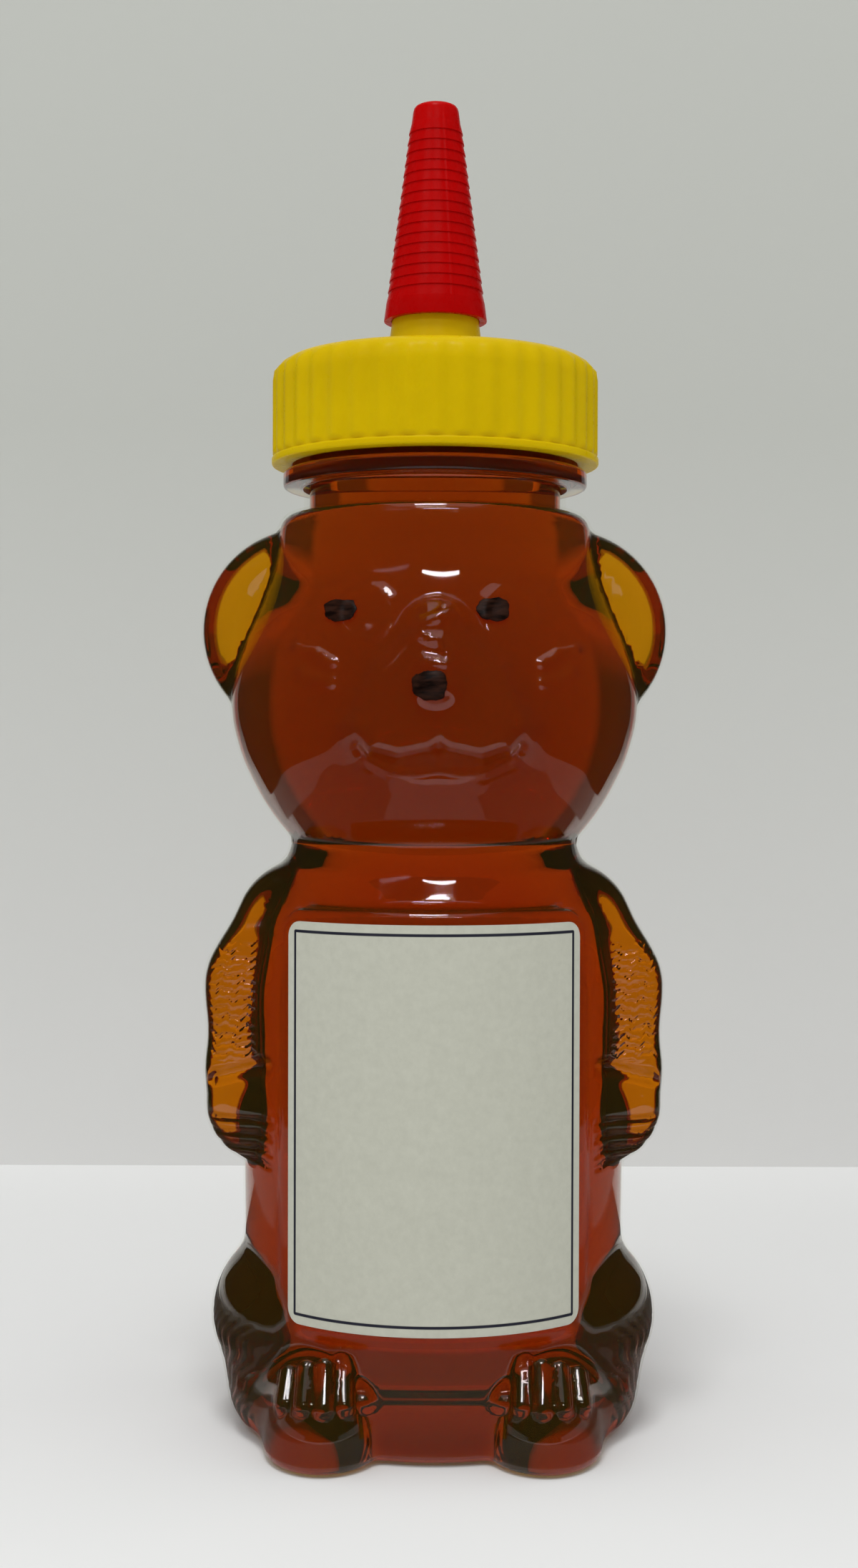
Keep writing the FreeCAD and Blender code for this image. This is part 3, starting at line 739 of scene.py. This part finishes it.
def threadTree():
    # a ridge that follows a helix
    sizes = ("Turns", "Pitch", "Root", "Depth", "Width", "Level", "Angle")
    tree, start, end = nodeTree("screwThread", [(size, "Float") for size in sizes] + [("Finish", "Material")])
    given = start.outputs
    spiral = node(tree, "GeometryNodeCurveSpiral", {
        "Resolution": 96, "Rotations": given["Turns"], "Start Radius": given["Root"],
        "End Radius": given["Root"], "Height": calc(tree, "MULTIPLY", given["Turns"], given["Pitch"]),
        "Reverse": False})
    flat = node(tree, "GeometryNodeSetCurveNormal", {"Curve": spiral.outputs["Curve"]}, mode="Z_UP")
    circle = node(tree, "GeometryNodeCurvePrimitiveCircle", {"Resolution": 12, "Radius": 1.0})
    size = node(tree, "ShaderNodeCombineXYZ", {
        "X": given["Depth"], "Y": calc(tree, "MULTIPLY", given["Width"], 0.5), "Z": 1.0})
    section = node(tree, "GeometryNodeTransform", {
        "Geometry": circle.outputs["Curve"], "Scale": size.outputs[0]})
    sweep = node(tree, "GeometryNodeCurveToMesh", {
        "Curve": flat.outputs["Curve"], "Profile Curve": section.outputs["Geometry"], "Fill Caps": True})
    shift = node(tree, "ShaderNodeCombineXYZ", {"Z": given["Level"]})
    spin = node(tree, "ShaderNodeCombineXYZ", {"Z": given["Angle"]})
    place = node(tree, "GeometryNodeTransform", {
        "Geometry": sweep.outputs["Mesh"], "Translation": shift.outputs[0], "Rotation": spin.outputs[0]})
    real = node(tree, "GeometryNodeRealizeInstances", {0: place.outputs[0]})
    smooth = node(tree, "GeometryNodeSetShadeSmooth", {"Geometry": real.outputs[0]})
    paint = node(tree, "GeometryNodeSetMaterial", {
        "Geometry": smooth.outputs[0], "Material": given["Finish"]})
    tree.links.new(paint.outputs[0], end.inputs[0])
    return tree


def mouthRing(bm, radius, level):
    # snaps the open edge on to a true circle and returns its edges
    rim = [e for e in bm.edges if len(e.link_faces) == 1]
    for v in {v for e in rim for v in e.verts}:
        a = math.atan2(v.co.y, v.co.x)
        v.co = (radius * math.cos(a), radius * math.sin(a), level)
    return rim


def neckRings(bm, rim, profile, count=160):
    ring = turnedRing(bm, *profile[0], count)
    edges = [bm.edges.new((ring[i], ring[(i + 1) % count])) for i in range(count)]
    bmesh.ops.bridge_loops(bm, edges=rim + edges)
    for point in profile[1:]:
        following = turnedRing(bm, *point, count)
        joinRings(bm, ring, following)
        ring = following
    return ring


def keepNormals(bm, normals, inward=False):
    layer = bm.verts.layers.float_vector.new("skinNormal")
    for v, n in zip(bm.verts, normals):
        v[layer] = -Vector(n) if inward else Vector(n)


def skinMesh(name, bm):
    # to metres, with the field's own normals where the skin follows the field
    for v in bm.verts:
        v.co *= mm
    mesh = bpy.data.meshes.new(name)
    bm.to_mesh(mesh)
    bm.free()
    smoothShade(mesh)
    mesh.set_sharp_from_angle(angle=math.radians(38))
    corners = np.empty(len(mesh.loops) * 3, dtype=np.float32)
    mesh.corner_normals.foreach_get("vector", corners)
    corners = corners.reshape(-1, 3)
    own = np.empty(len(mesh.vertices) * 3, dtype=np.float32)
    mesh.attributes["skinNormal"].data.foreach_get("vector", own)
    own = own.reshape(-1, 3)
    at = np.empty(len(mesh.loops), dtype=np.int32)
    mesh.loops.foreach_get("vertex_index", at)
    good = np.linalg.norm(own, axis=1)[at] > 0.5
    corners[good] = own[at][good]
    mesh.normals_split_custom_set(corners.tolist())
    mesh.attributes.remove(mesh.attributes["skinNormal"])
    return mesh


def addMesh(bm, mesh, scale=1000.0):
    first = len(bm.verts)
    bm.from_mesh(mesh)
    bm.verts.ensure_lookup_table()
    for v in bm.verts[first:]:
        v.co *= scale


neck = {
    "mouth": 18.2,
    "mouthInside": 17.6,
    "foot": 18.0,
    "footInside": 17.3,
    "radius": 17.7,
    "beadRadius": 20.5,
    "beadLow": 124.6,
    "beadHigh": 126.85,
    "finishRadius": 17.55,
    "rim": 139.55,
    "bore": 15.5,
    "boreLow": 16.95,
    "boreStep": 133.8,
    "threadLevel": 132.56,
    "threadTurns": 1.05,
    "threadPitch": 4.23,
    "threadDepth": 1.3,
    "threadWidth": 1.9,
}


def outerNeck():
    # from the crown up over the bead and the rim, and down the bore
    n, crown = neck, bear["crown"]
    inside = crown - bear["wall"]
    return softCorners([
        (n["foot"], crown, 0), (n["radius"], crown, 0.5), (n["radius"], n["beadLow"], 0.5),
        (n["beadRadius"], n["beadLow"], 0.55), (n["beadRadius"], n["beadHigh"], 0.55),
        (n["finishRadius"], n["beadHigh"], 0.6), (n["finishRadius"], n["rim"], 0.6),
        (n["bore"], n["rim"], 0.45), (n["bore"], n["boreStep"] + 1.0, 0.5),
        (n["boreLow"], n["boreStep"], 0.5), (n["boreLow"], inside, 0.25), (n["footInside"], inside, 0)])


def bearShell(material, ringMaterial):
    n, crown = neck, bear["crown"]
    bm, normals = bearSkin(grid, 0.0, n["mouth"], True)
    keepNormals(bm, normals)
    neckRings(bm, mouthRing(bm, n["mouth"], crown), outerNeck())
    inside, back = bearSkin(coarse, -bear["wall"], n["mouthInside"], False)
    keepNormals(inside, back, True)
    bmesh.ops.reverse_faces(inside, faces=inside.faces)
    mouthRing(inside, n["mouthInside"], crown - bear["wall"])
    holder = bpy.data.meshes.new("insideSkin")
    inside.to_mesh(holder)
    inside.free()
    bm.from_mesh(holder)
    bpy.data.meshes.remove(holder)
    bmesh.ops.bridge_loops(bm, edges=[e for e in bm.edges if len(e.link_faces) == 1])
    thread = grownMesh("neckThread", bpy.data.meshes.new("seed"), threadTree(), {
        "Turns": n["threadTurns"], "Pitch": n["threadPitch"] * mm, "Root": n["finishRadius"] * mm,
        "Depth": n["threadDepth"] * mm, "Width": n["threadWidth"] * mm, "Level": n["threadLevel"] * mm,
        "Finish": ringMaterial})
    # the bead and the thread have the second material
    for f in bm.faces:
        c = f.calc_center_median()
        onBead = n["beadLow"] - 0.1 < c.z < n["beadHigh"] + 0.3
        f.material_index = int(onBead and math.hypot(*c.xy) > n["radius"] + 0.1)
    first = len(bm.faces)
    addMesh(bm, thread)
    bm.faces.ensure_lookup_table()
    for f in bm.faces[first:]:
        f.material_index = 1
    mesh = skinMesh("bearShell", bm)
    mesh.materials.append(material)
    mesh.materials.append(ringMaterial)
    return shownObject("bearShell", mesh, material)


honey = {
    "mouth": 17.45,
    "foot": 17.2,
    "top": 133.55,
    # how far in from the wall and down the surface's edge curves
    "edge": [(0.35, 0.3), (1.0, 0.45), (2.5, 0.5)],
    "rings": [8.0, 3.0, 1.0],
}


def honeyFill(material):
    h = honey
    level = -(bear["wall"] + bear["honeyGap"])
    low, bore = bear["crown"] + level, neck["boreLow"] - bear["honeyGap"]
    bm, normals = bearSkin(grid, level, h["mouth"], True)
    keepNormals(bm, normals)
    profile = softCorners([(h["foot"], low, 0), (bore, low, 0.25), (bore, h["top"], 0)])
    profile += [(bore - inward, h["top"] - down) for inward, down in h["edge"]]
    profile += [(radius, profile[-1][1]) for radius in h["rings"]]
    bm.faces.new(neckRings(bm, mouthRing(bm, h["mouth"], low), profile))
    return shownObject("honeyFill", skinMesh("honeyFill", bm), material)


def frontPoint(x, z, lift):
    # the place on the bear's front straight behind a point of the front view
    y = np.full(x.shape, -36.0)
    for _ in range(40):
        y = y + np.clip(formField(x, y, z) - lift, -1.0, 1.0) * 0.8
    return y


inkDabs = {
    "eye_left": {"piece": "eyeDabLeft", "at": (-11.9, 106.9), "half": (2.05, 1.42), "seed": 3},
    "eye_right": {"piece": "eyeDabRight", "at": (7.25, 106.9), "half": (2.05, 1.5), "seed": 5},
    "nose": {"piece": "noseDab", "at": (-0.65, 97.2), "half": (2.15, 1.8), "seed": 9},
}


def inkDab(dab, material):
    # a thin patch of paint that lies on the moulded face
    rng = np.random.default_rng(dab["seed"])
    around, rings = 56, 14
    angle = np.arange(around) * 2 * math.pi / around
    edge = 1 + 0.05 * np.sin(3 * angle + rng.uniform(0, 6))
    edge = edge + 0.035 * np.sin(7 * angle + rng.uniform(0, 6)) + rng.normal(0, 0.02, around)
    box = 1.0 / np.maximum(np.abs(np.cos(angle)) ** 4 + np.abs(np.sin(angle)) ** 4, 0.01) ** 0.25
    edge *= 0.5 + 0.5 * box
    us, vs = [np.zeros(1)], [np.zeros(1)]
    for k in range(1, rings + 1):
        us.append(edge * np.cos(angle) * k / rings)
        vs.append(edge * np.sin(angle) * k / rings)
    u, v = np.concatenate(us), np.concatenate(vs)
    x, z = dab["at"][0] + u * dab["half"][0], dab["at"][1] + v * dab["half"][1]
    depth = np.hypot(u, v)
    lift = 0.05 + 0.14 * np.sqrt(np.clip(1 - depth ** 6, 0, 1))
    top = np.stack([x, frontPoint(x, z, lift), z], 1)
    under = np.stack([x, frontPoint(x, z, np.full(x.shape, 0.02)), z], 1)
    n = len(x)
    verts = np.concatenate([top, under]) * mm
    faces = []
    for i in range(around):
        j = (i + 1) % around
        faces.append((0, 1 + i, 1 + j))
        faces.append((n, n + 1 + j, n + 1 + i))
        for k in range(rings - 1):
            a, b = 1 + k * around + i, 1 + k * around + j
            faces.append((a, a + around, b + around, b))
            faces.append((n + a, n + b, n + b + around, n + a + around))
        a, b = 1 + (rings - 1) * around + i, 1 + (rings - 1) * around + j
        faces.append((a, n + a, n + b, b))
    mesh = meshFrom(dab["piece"], verts, faces)
    outwardFaces(mesh)
    return shownObject(dab["piece"], mesh, material)


def inkPaint():
    mat, tree, out = glossNodes("inkPaint")
    brush = objectNoise(tree, 420.0, 3.0, stretch=(1, 1, 4))
    principled(tree, out, {
        "Base Color": ramp(tree, brush, [(0.35, (0.006, 0.002, 0.001)), (0.62, (0.03, 0.009, 0.004))]),
        "Roughness": greyRamp(tree, brush, 0.35, 0.6), "Normal": bumpNormal(tree, brush, 0.5, 0.0002),
        "IOR": 1.45, "Specular IOR Level": 0.12})
    return mat


label = {
    "width": 40.8,
    "low": 16.8,
    "height": 51.0,
    "radius": 26.18,
    "thickness": 0.12,
    "corner": 2.0,
    "inset": 1.25,
    "line": 0.36,
    "lineCorner": 0.1,
    "uvUnit": 100.0,
}


def paperFinish():
    # off-white paper with a printed border; the UV map has its zero in the label's middle
    mat, tree, out = glossNodes("labelPaper")
    uv = node(tree, "ShaderNodeUVMap", uv_map="paper")
    split = node(tree, "ShaderNodeSeparateXYZ", {0: uv.outputs["UV"]})
    gaps = []
    for axis, size in (("X", label["width"]), ("Y", label["height"])):
        away = calc(tree, "ABSOLUTE", calc(tree, "MULTIPLY", split.outputs[axis], label["uvUnit"]))
        gaps.append(calc(tree, "SUBTRACT", away, size / 2 - label["inset"] - label["lineCorner"]))
    beyond = [calc(tree, "MAXIMUM", gap, 0.0) for gap in gaps]
    far = calc(tree, "SQRT", calc(tree, "ADD", *[calc(tree, "MULTIPLY", gap, gap) for gap in beyond]))
    edge = calc(tree, "ADD", far, calc(tree, "MINIMUM", calc(tree, "MAXIMUM", *gaps), 0.0))
    off = calc(tree, "ABSOLUTE", calc(tree, "SUBTRACT", edge, label["lineCorner"]))
    ink = calc(tree, "MULTIPLY", calc(tree, "SUBTRACT", label["line"] / 2 + 0.05, off), 12.0, clamp=True)
    fibre = objectNoise(tree, 900.0, 5.0, 0.65)
    paper = ramp(tree, fibre, [(0.3, (0.54, 0.545, 0.455)), (0.7, (0.595, 0.60, 0.505))])
    principled(tree, out, {
        "Base Color": colourMix(tree, ink, paper, (0.012, 0.013, 0.03, 1)), "IOR": 1.45,
        "Roughness": greyRamp(tree, fibre, 0.5, 0.68), "Normal": bumpNormal(tree, fibre, 0.12, 0.0001)})
    return mat


def paperLabel(material):
    # a rounded sheet rolled on the front panel
    s = label
    half, tall, corner = s["width"] / 2, s["height"] / 2, s["corner"]
    straight = [v for v in tall * np.linspace(-1, 1, 41) if abs(v) < tall - corner]
    curved = [tall - corner * (1 - math.sin(a)) for a in np.linspace(0, math.pi / 2, 9)]
    rows = sorted({round(float(v), 4) for v in straight + curved + [-v for v in curved]})
    columns = np.linspace(-1, 1, 49)
    verts, uvs, faces = [], [], []
    for v in rows:
        over = max(abs(v) - tall + corner, 0)
        reach = half - corner + math.sqrt(max(corner ** 2 - over ** 2, 0))
        uvs += [(c * reach, v) for c in columns]
    count, n = len(columns), len(uvs)
    middle = s["low"] + tall
    for radius in (s["radius"] + s["thickness"], s["radius"]):
        for u, v in uvs:
            a = u / s["radius"]
            verts.append((radius * math.sin(a) * mm, -radius * math.cos(a) * mm, (middle + v) * mm))
    last = n - count
    for start in range(0, last, count):
        for a in range(start, start + count - 1):
            b, c, d = a + 1, a + count + 1, a + count
            faces += [(a, b, c, d), (n + a, n + d, n + c, n + b)]
    # the edge of the sheet, once round
    border = [*range(count - 1, n, count), *range(n - 2, last - 1, -1)]
    border += [*range(last - count, -1, -count), *range(1, count - 1)]
    for a, b in zip(border, border[1:] + border[:1]):
        faces.append((a, n + a, n + b, b))
    mesh = meshFrom("paperLabel", verts, faces)
    layer = mesh.uv_layers.new(name="paper")
    for loop in mesh.loops:
        u, v = uvs[loop.vertex_index % n]
        layer.data[loop.index].uv = (u / s["uvUnit"], v / s["uvUnit"])
    outwardFaces(mesh)
    mesh.set_sharp_from_angle(angle=math.radians(40))
    return shownObject("paperLabel", mesh, material)


cap = {
    "bore": 19.25,
    "skirt": 21.65,
    "low": 127.7,
    "flangeTop": 128.65,
    "flange": 22.05,
    "deckLow": 140.2,
    "deckTop": 141.7,
    "deckRound": 3.0,
    "ridges": 40,
    "ridgeRise": 0.34,
    "ridgeDepth": 2.4,
    "ridgeLow": (0.15, 0.5),
    "ridgeHigh": (1.5, 0.6),
    "scallop": 0.8,
    "spoutBase": 6.6,
    "spoutTip": 2.95,
    "spoutEnd": 169.4,
    "orifice": 1.6,
    "orificeLow": 166.2,
    "throat": 5.6,
    "threadLevel": 129.85,
    "threadTurns": 1.19,
    "threadAngle": -50.5,
    "threadSink": 0.1,
    "threadGap": 0.45,
}


def capRidge(r, z, a):
    # shallow flutes on the skirt that end in scallops under the deck's edge
    c = cap
    if r < c["skirt"] - c["ridgeDepth"] or z < c["flangeTop"] - 0.01:
        return 0.0
    wave = 0.5 + 0.5 * math.cos(a * c["ridges"])
    (rise, lowFade), (drop, highFade) = c["ridgeLow"], c["ridgeHigh"]
    top = c["deckTop"] - drop + c["scallop"] * wave
    return c["ridgeRise"] * wave * short(z, top, highFade) * past(z, c["flangeTop"] + rise, lowFade)


def spoutCap(material):
    c = cap
    profile = softCorners([
        (c["bore"], c["low"], 0.25), (c["flange"], c["low"], 0.3), (c["flange"], c["flangeTop"], 0.3),
        (c["skirt"], c["flangeTop"], 0.2), (c["skirt"], c["deckTop"], c["deckRound"]),
        (c["spoutBase"], c["deckTop"], 0.6), (c["spoutTip"], c["spoutEnd"], 0.35),
        (c["orifice"], c["spoutEnd"], 0.2), (c["orifice"], c["orificeLow"], 0.2),
        (c["throat"], c["deckLow"], 0.3), (c["bore"], c["deckLow"], 0.5)])
    # more points up the skirt so that the flutes can fade
    fine = []
    for (r0, z0), (r1, z1) in zip(profile, profile[1:] + profile[:1]):
        fine.append((r0, z0))
        if abs(r0 - c["skirt"]) < 0.05 and abs(r1 - c["skirt"]) < 0.05 and z1 - z0 > 3:
            for t in (0.02, 0.05, 0.08, 0.3, 0.6, 0.82, 0.87, 0.91, 0.95, 0.98):
                fine.append((r0 + (r1 - r0) * t, z0 + (z1 - z0) * t))
    sweep = 2 * math.pi / c["ridges"]
    wedge = latheMesh("capWedge", fine, 14, capRidge, -sweep / 2, sweep)
    mesh = grownMesh("spoutCap", wedge, aroundTree(), {
        "Count": c["ridges"], "Weld": 2e-6, "Finish": material})
    root = c["bore"] + c["threadSink"]
    thread = grownMesh("capThread", bpy.data.meshes.new("seed"), threadTree(), {
        "Turns": c["threadTurns"], "Pitch": neck["threadPitch"] * mm, "Root": root * mm,
        "Depth": (root - neck["finishRadius"] - c["threadGap"]) * mm, "Width": neck["threadWidth"] * mm,
        "Level": c["threadLevel"] * mm, "Angle": math.radians(c["threadAngle"]), "Finish": material})
    bm = bmesh.new()
    bm.from_mesh(mesh)
    addMesh(bm, thread, 1.0)
    bm.to_mesh(mesh)
    bm.free()
    # one material for the skirt, the spout and the thread
    mesh.materials.clear()
    mesh.materials.append(material)
    outwardFaces(mesh)
    mesh.set_sharp_from_angle(angle=math.radians(42))
    return shownObject("spoutCap", mesh, material)


tip = {
    "low": 147.25,
    "height": 29.1,
    "wall": 0.85,
    "roof": 1.5,
    "clearance": 0.08,
    "lift": 5.55,
    "collar": 2.45,
    "crown": 2.55,
    "ribs": 17,
    "step": 0.17,
    "seamAngle": -90 + 20.0,
    "seamWidth": 0.17,
    "seamRise": 0.1,
    "seamEnds": (0.2, 1.2),
}
spoutSlope = (cap["spoutBase"] - cap["spoutTip"]) / (cap["spoutEnd"] - cap["deckTop"])


def tipRadius(height):
    return cap["spoutBase"] + tip["clearance"] - spoutSlope * (tip["lift"] + height)


def tipPoint(height, out, corner):
    # a point of the tip's outline, so far out from its bore
    return tipRadius(height) + out, tip["low"] + height, corner


def tipSeam(r, z, a):
    # the mould's parting line up both sides
    t, height = tip, z - tip["low"]
    low, high = t["seamEnds"]
    if height < low or height > t["height"] - high or r < tipRadius(height) + 0.3:
        return 0.0
    best = 0.0
    for turn in (0.0, math.pi):
        off = (a - math.radians(t["seamAngle"]) - turn + math.pi) % (2 * math.pi) - math.pi
        best = max(best, t["seamRise"] * math.exp(-((off * r / t["seamWidth"]) ** 2)))
    return best


def tipCap(material):
    t = tip
    wall, proud = t["wall"], t["wall"] + t["step"]
    pitch = (t["height"] - t["collar"] - t["crown"]) / t["ribs"]
    outline = [tipPoint(0, 0, 0.12), tipPoint(0, proud, 0.12), tipPoint(t["collar"], proud, 0.05)]
    for rib in range(t["ribs"]):
        low = t["collar"] + rib * pitch
        if rib:
            outline.append(tipPoint(low, proud, 0.05))
        outline.append(tipPoint(low + pitch, wall, 0.03))
    top, roof = t["height"], t["height"] - t["roof"]
    outline += [tipPoint(top, wall, 0.95), (0, t["low"] + top - 0.05, 0), (0, t["low"] + roof, 0),
                tipPoint(roof, 0, 0.2)]
    mesh = latheMesh("tipCap", softCorners(outline), 240, tipSeam)
    mesh.set_sharp_from_angle(angle=math.radians(42))
    return shownObject("tipCap", mesh, material)


finishes = {
    "shell": clearPlastic(),
    "ring": clearRing(),
    "honey": honeyLiquid(),
    "ink": inkPaint(),
    "paper": paperFinish(),
    "yellow": mouldedPlastic("yellowPlastic", (0.70, 0.49, 0.001), (0.63, 0.43, 0.001), 0.32, 1500.0, 0.25),
    "red": mouldedPlastic("redPlastic", (0.50, 0.001, 0.001), (0.42, 0.001, 0.001), 0.28, 1200.0, 0.25),
    "foam": mouldedPlastic("linerFoam", (0.80, 0.80, 0.77), (0.70, 0.70, 0.66), 0.8, 2200.0),
}

shellPiece = bearShell(finishes["shell"], finishes["ring"])
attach(shellPiece, "bottle")
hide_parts("bottle")
print("shell", len(shellPiece.data.polygons), "faces")

honeyPiece = honeyFill(finishes["honey"])
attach(honeyPiece, "bottle")
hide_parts("honey_fill")
print("honey", len(honeyPiece.data.polygons), "faces")

for nodeName, dab in inkDabs.items():
    piece = inkDab(dab, finishes["ink"])
    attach(piece, "bottle")
    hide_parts(nodeName)
print("face painted")

labelPiece = paperLabel(finishes["paper"])
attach(labelPiece, "bottle")
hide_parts("front_label")

capPiece = spoutCap(finishes["yellow"])
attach(capPiece, "cap")
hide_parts("spout_cap")

tipPiece = tipCap(finishes["red"])
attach(tipPiece, "tip")
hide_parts("tip_cap")
print("cap", len(capPiece.data.polygons), "tip", len(tipPiece.data.polygons), "faces")

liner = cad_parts["liner_ring"]
for holder in liner.material_slots:
    holder.material = finishes["foam"]

stageLook = {
    "wallAt": 0.165,
    "wallHalf": 0.32,
    "wall": (0.60, 0.615, 0.575),
    # the lighter foot tones of the wall and its wings are painted bounce light from the floor
    "wallPaintedBounce": (0.80, 0.80, 0.785),
    "wings": (0.26, 0.26, 0.26),
    "wingsPaintedBounce": (0.95, 0.95, 0.94),
    "floor": (0.86, 0.865, 0.86),
    "side": (0.42, 0.42, 0.42),
    "front": (0.32, 0.32, 0.32),
    "back": (0.8, 0.8, 0.8),
    "above": (0.80, 0.80, 0.80),
}


def stagePlane(name, corners, colour, foot=None):
    # a matt plane that is clear from behind
    mesh = meshFrom(name, corners, [(0, 1, 2, 3)])
    mat, tree, out = glossNodes(name + "Paint")
    tone = (*colour, 1)
    if foot:
        # another, lighter tone at its foot, which is painted bounce light from the floor, and wings on both
        # sides of its middle that also get a lighter painted foot
        coords = node(tree, "ShaderNodeTexCoord")
        split = node(tree, "ShaderNodeSeparateXYZ", {0: coords.outputs["Object"]})
        up = calc(tree, "MULTIPLY", split.outputs["Z"], 5.0)
        away = calc(tree, "MULTIPLY", calc(tree, "ABSOLUTE", split.outputs["X"]), 4.0)
        # painted bounce light: the tone gets lighter towards the foot
        middle = ramp(tree, up, [(0.0, foot), (0.8, colour)])
        wings = ramp(tree, up, [(0.15, stageLook["wingsPaintedBounce"]), (0.4, stageLook["wings"])])
        share = ramp(tree, away, [(0.375, (0, 0, 0)), (0.43, (1, 1, 1))])
        tone = colourMix(tree, share, middle, wings)
    paint = node(tree, "ShaderNodeBsdfDiffuse", {"Color": tone})
    through = node(tree, "ShaderNodeBsdfTransparent")
    side = node(tree, "ShaderNodeNewGeometry")
    mix = node(tree, "ShaderNodeMixShader", {
        "Fac": side.outputs["Backfacing"], 1: paint.outputs[0], 2: through.outputs[0]})
    tree.links.new(mix.outputs[0], out.inputs["Surface"])
    obj = shownObject(name, mesh, mat)
    return obj


def lying(x0, x1, y0, y1, z):
    return [(x0, y0, z), (x1, y0, z), (x1, y1, z), (x0, y1, z)]


def standing(start, end, low, high):
    return [(*start, low), (*end, low), (*end, high), (*start, high)]


w, half = stageLook["wallAt"], stageLook["wallHalf"]
stagePlane("floor", lying(-0.9, 0.9, -1.1, 1.1, 0), stageLook["floor"])
stagePlane("backdrop", standing((-half, w), (half, w), 0, 0.62), stageLook["wall"], stageLook["wallPaintedBounce"])

# studio flags that only show in the gloss, each with its grey: painted reflections, dark at the front and
# sides and lighter or darker on the floor, seen by no other ray
paintedReflectionSheets = {
    "frontCard": (standing((0.34, -0.46), (-0.34, -0.46), 0.002, 0.78), 0.03),
    "leftCard": (standing((-0.13, -0.46), (-0.13, 0.15), 0.022, 0.4), 0.03),
    "rightCard": (standing((0.13, 0.15), (0.13, -0.46), 0.022, 0.4), 0.03),
    "aheadCard": (lying(-0.13, 0.13, -0.46, -0.09, 0.0015), 0.8),
    "footCard": (lying(-0.04, 0.04, -0.09, 0.10, 0.0015), 0.3),
    "leftFootCard": (lying(-0.12, -0.04, -0.09, 0.10, 0.0015), 0.1),
    "rightFootCard": (lying(0.04, 0.12, -0.09, 0.10, 0.0015), 0.1),
    "leftFarCard": (lying(-0.5, -0.12, -0.09, 0.16, 0.0015), 0.3),
    "rightFarCard": (lying(0.12, 0.5, -0.09, 0.16, 0.0015), 0.3),
}
for cardName, (corners, grey) in paintedReflectionSheets.items():
    card = stagePlane(cardName, corners, (grey, grey, grey))
    for ray in ("camera", "diffuse", "transmission", "shadow", "volume_scatter"):
        setattr(card, "visible_" + ray, False)


def areaLamp(name, at, towards, size, power):
    lamp = bpy.data.lights.new(name, "AREA")
    lamp.shape = "RECTANGLE"
    lamp.size, lamp.size_y = size
    lamp.energy = power
    obj = bpy.data.objects.new(name, lamp)
    obj.location = at
    obj.rotation_euler = (Vector(towards) - Vector(at)).to_track_quat("-Z", "Y").to_euler()
    scene.collection.objects.link(obj)


areaLamp("ceilingPanel", (-0.05, -0.40, 1.15), (0.0, 0.05, 0.08), (0.30, 0.28), 4.4)
areaLamp("stripRight", (0.03, -0.40, 0.46), (0.0, 0.0, 0.08), (0.20, 0.01), 0.16)
areaLamp("stripLeft", (-0.24, -0.37, 0.46), (0.0, 0.0, 0.08), (0.20, 0.01), 0.16)


def softRoom():
    # a plain room: dim in front, brighter overhead and behind the wall
    world = bpy.data.worlds.new("softRoom")
    world.use_nodes = True
    tree = world.node_tree
    coords = node(tree, "ShaderNodeTexCoord")
    split = node(tree, "ShaderNodeSeparateXYZ", {0: coords.outputs["Generated"]})
    ahead = calc(tree, "MULTIPLY_ADD", split.outputs["Y"], 0.5, 0.5)
    level = ramp(tree, ahead, [
        (0.0, stageLook["front"]), (0.52, stageLook["side"]), (0.68, stageLook["back"])])
    high = ramp(tree, split.outputs["Z"], [(0.15, (0, 0, 0)), (0.95, (1, 1, 1))])
    tone = colourMix(tree, high, level, (*stageLook["above"], 1))
    tree.links.new(tone, tree.nodes["Background"].inputs["Color"])
    scene.world = world


softRoom()

view = {
    "distance": 0.28127,
    "height": 0.08897,
    "across": -0.00071,
    "pitch": 0.841,
    "roll": 0.15,
    "focal": 2900 / 1200 * 36,
}
eye = bpy.data.cameras.new("photoEye")
eye.sensor_fit = "HORIZONTAL"
eye.sensor_width = 36
eye.lens = view["focal"]
eye.clip_start = 0.01
eyeHolder = bpy.data.objects.new("photoEye", eye)
eyeHolder.location = (view["across"], -view["distance"], view["height"])
tilt = Matrix.Rotation(math.radians(90 - view["pitch"]), 4, "X")
tilt = tilt @ Matrix.Rotation(math.radians(view["roll"]), 4, "Z")
eyeHolder.rotation_euler = tilt.to_euler()
scene.collection.objects.link(eyeHolder)
scene.camera = eyeHolder
scene.view_settings.view_transform = "Standard"
# light has to get out of the honey again after many turns inside it
scene.cycles.max_bounces = 20
scene.cycles.glossy_bounces = 12
scene.cycles.transmission_bounces = 16
scene.cycles.transparent_max_bounces = 32
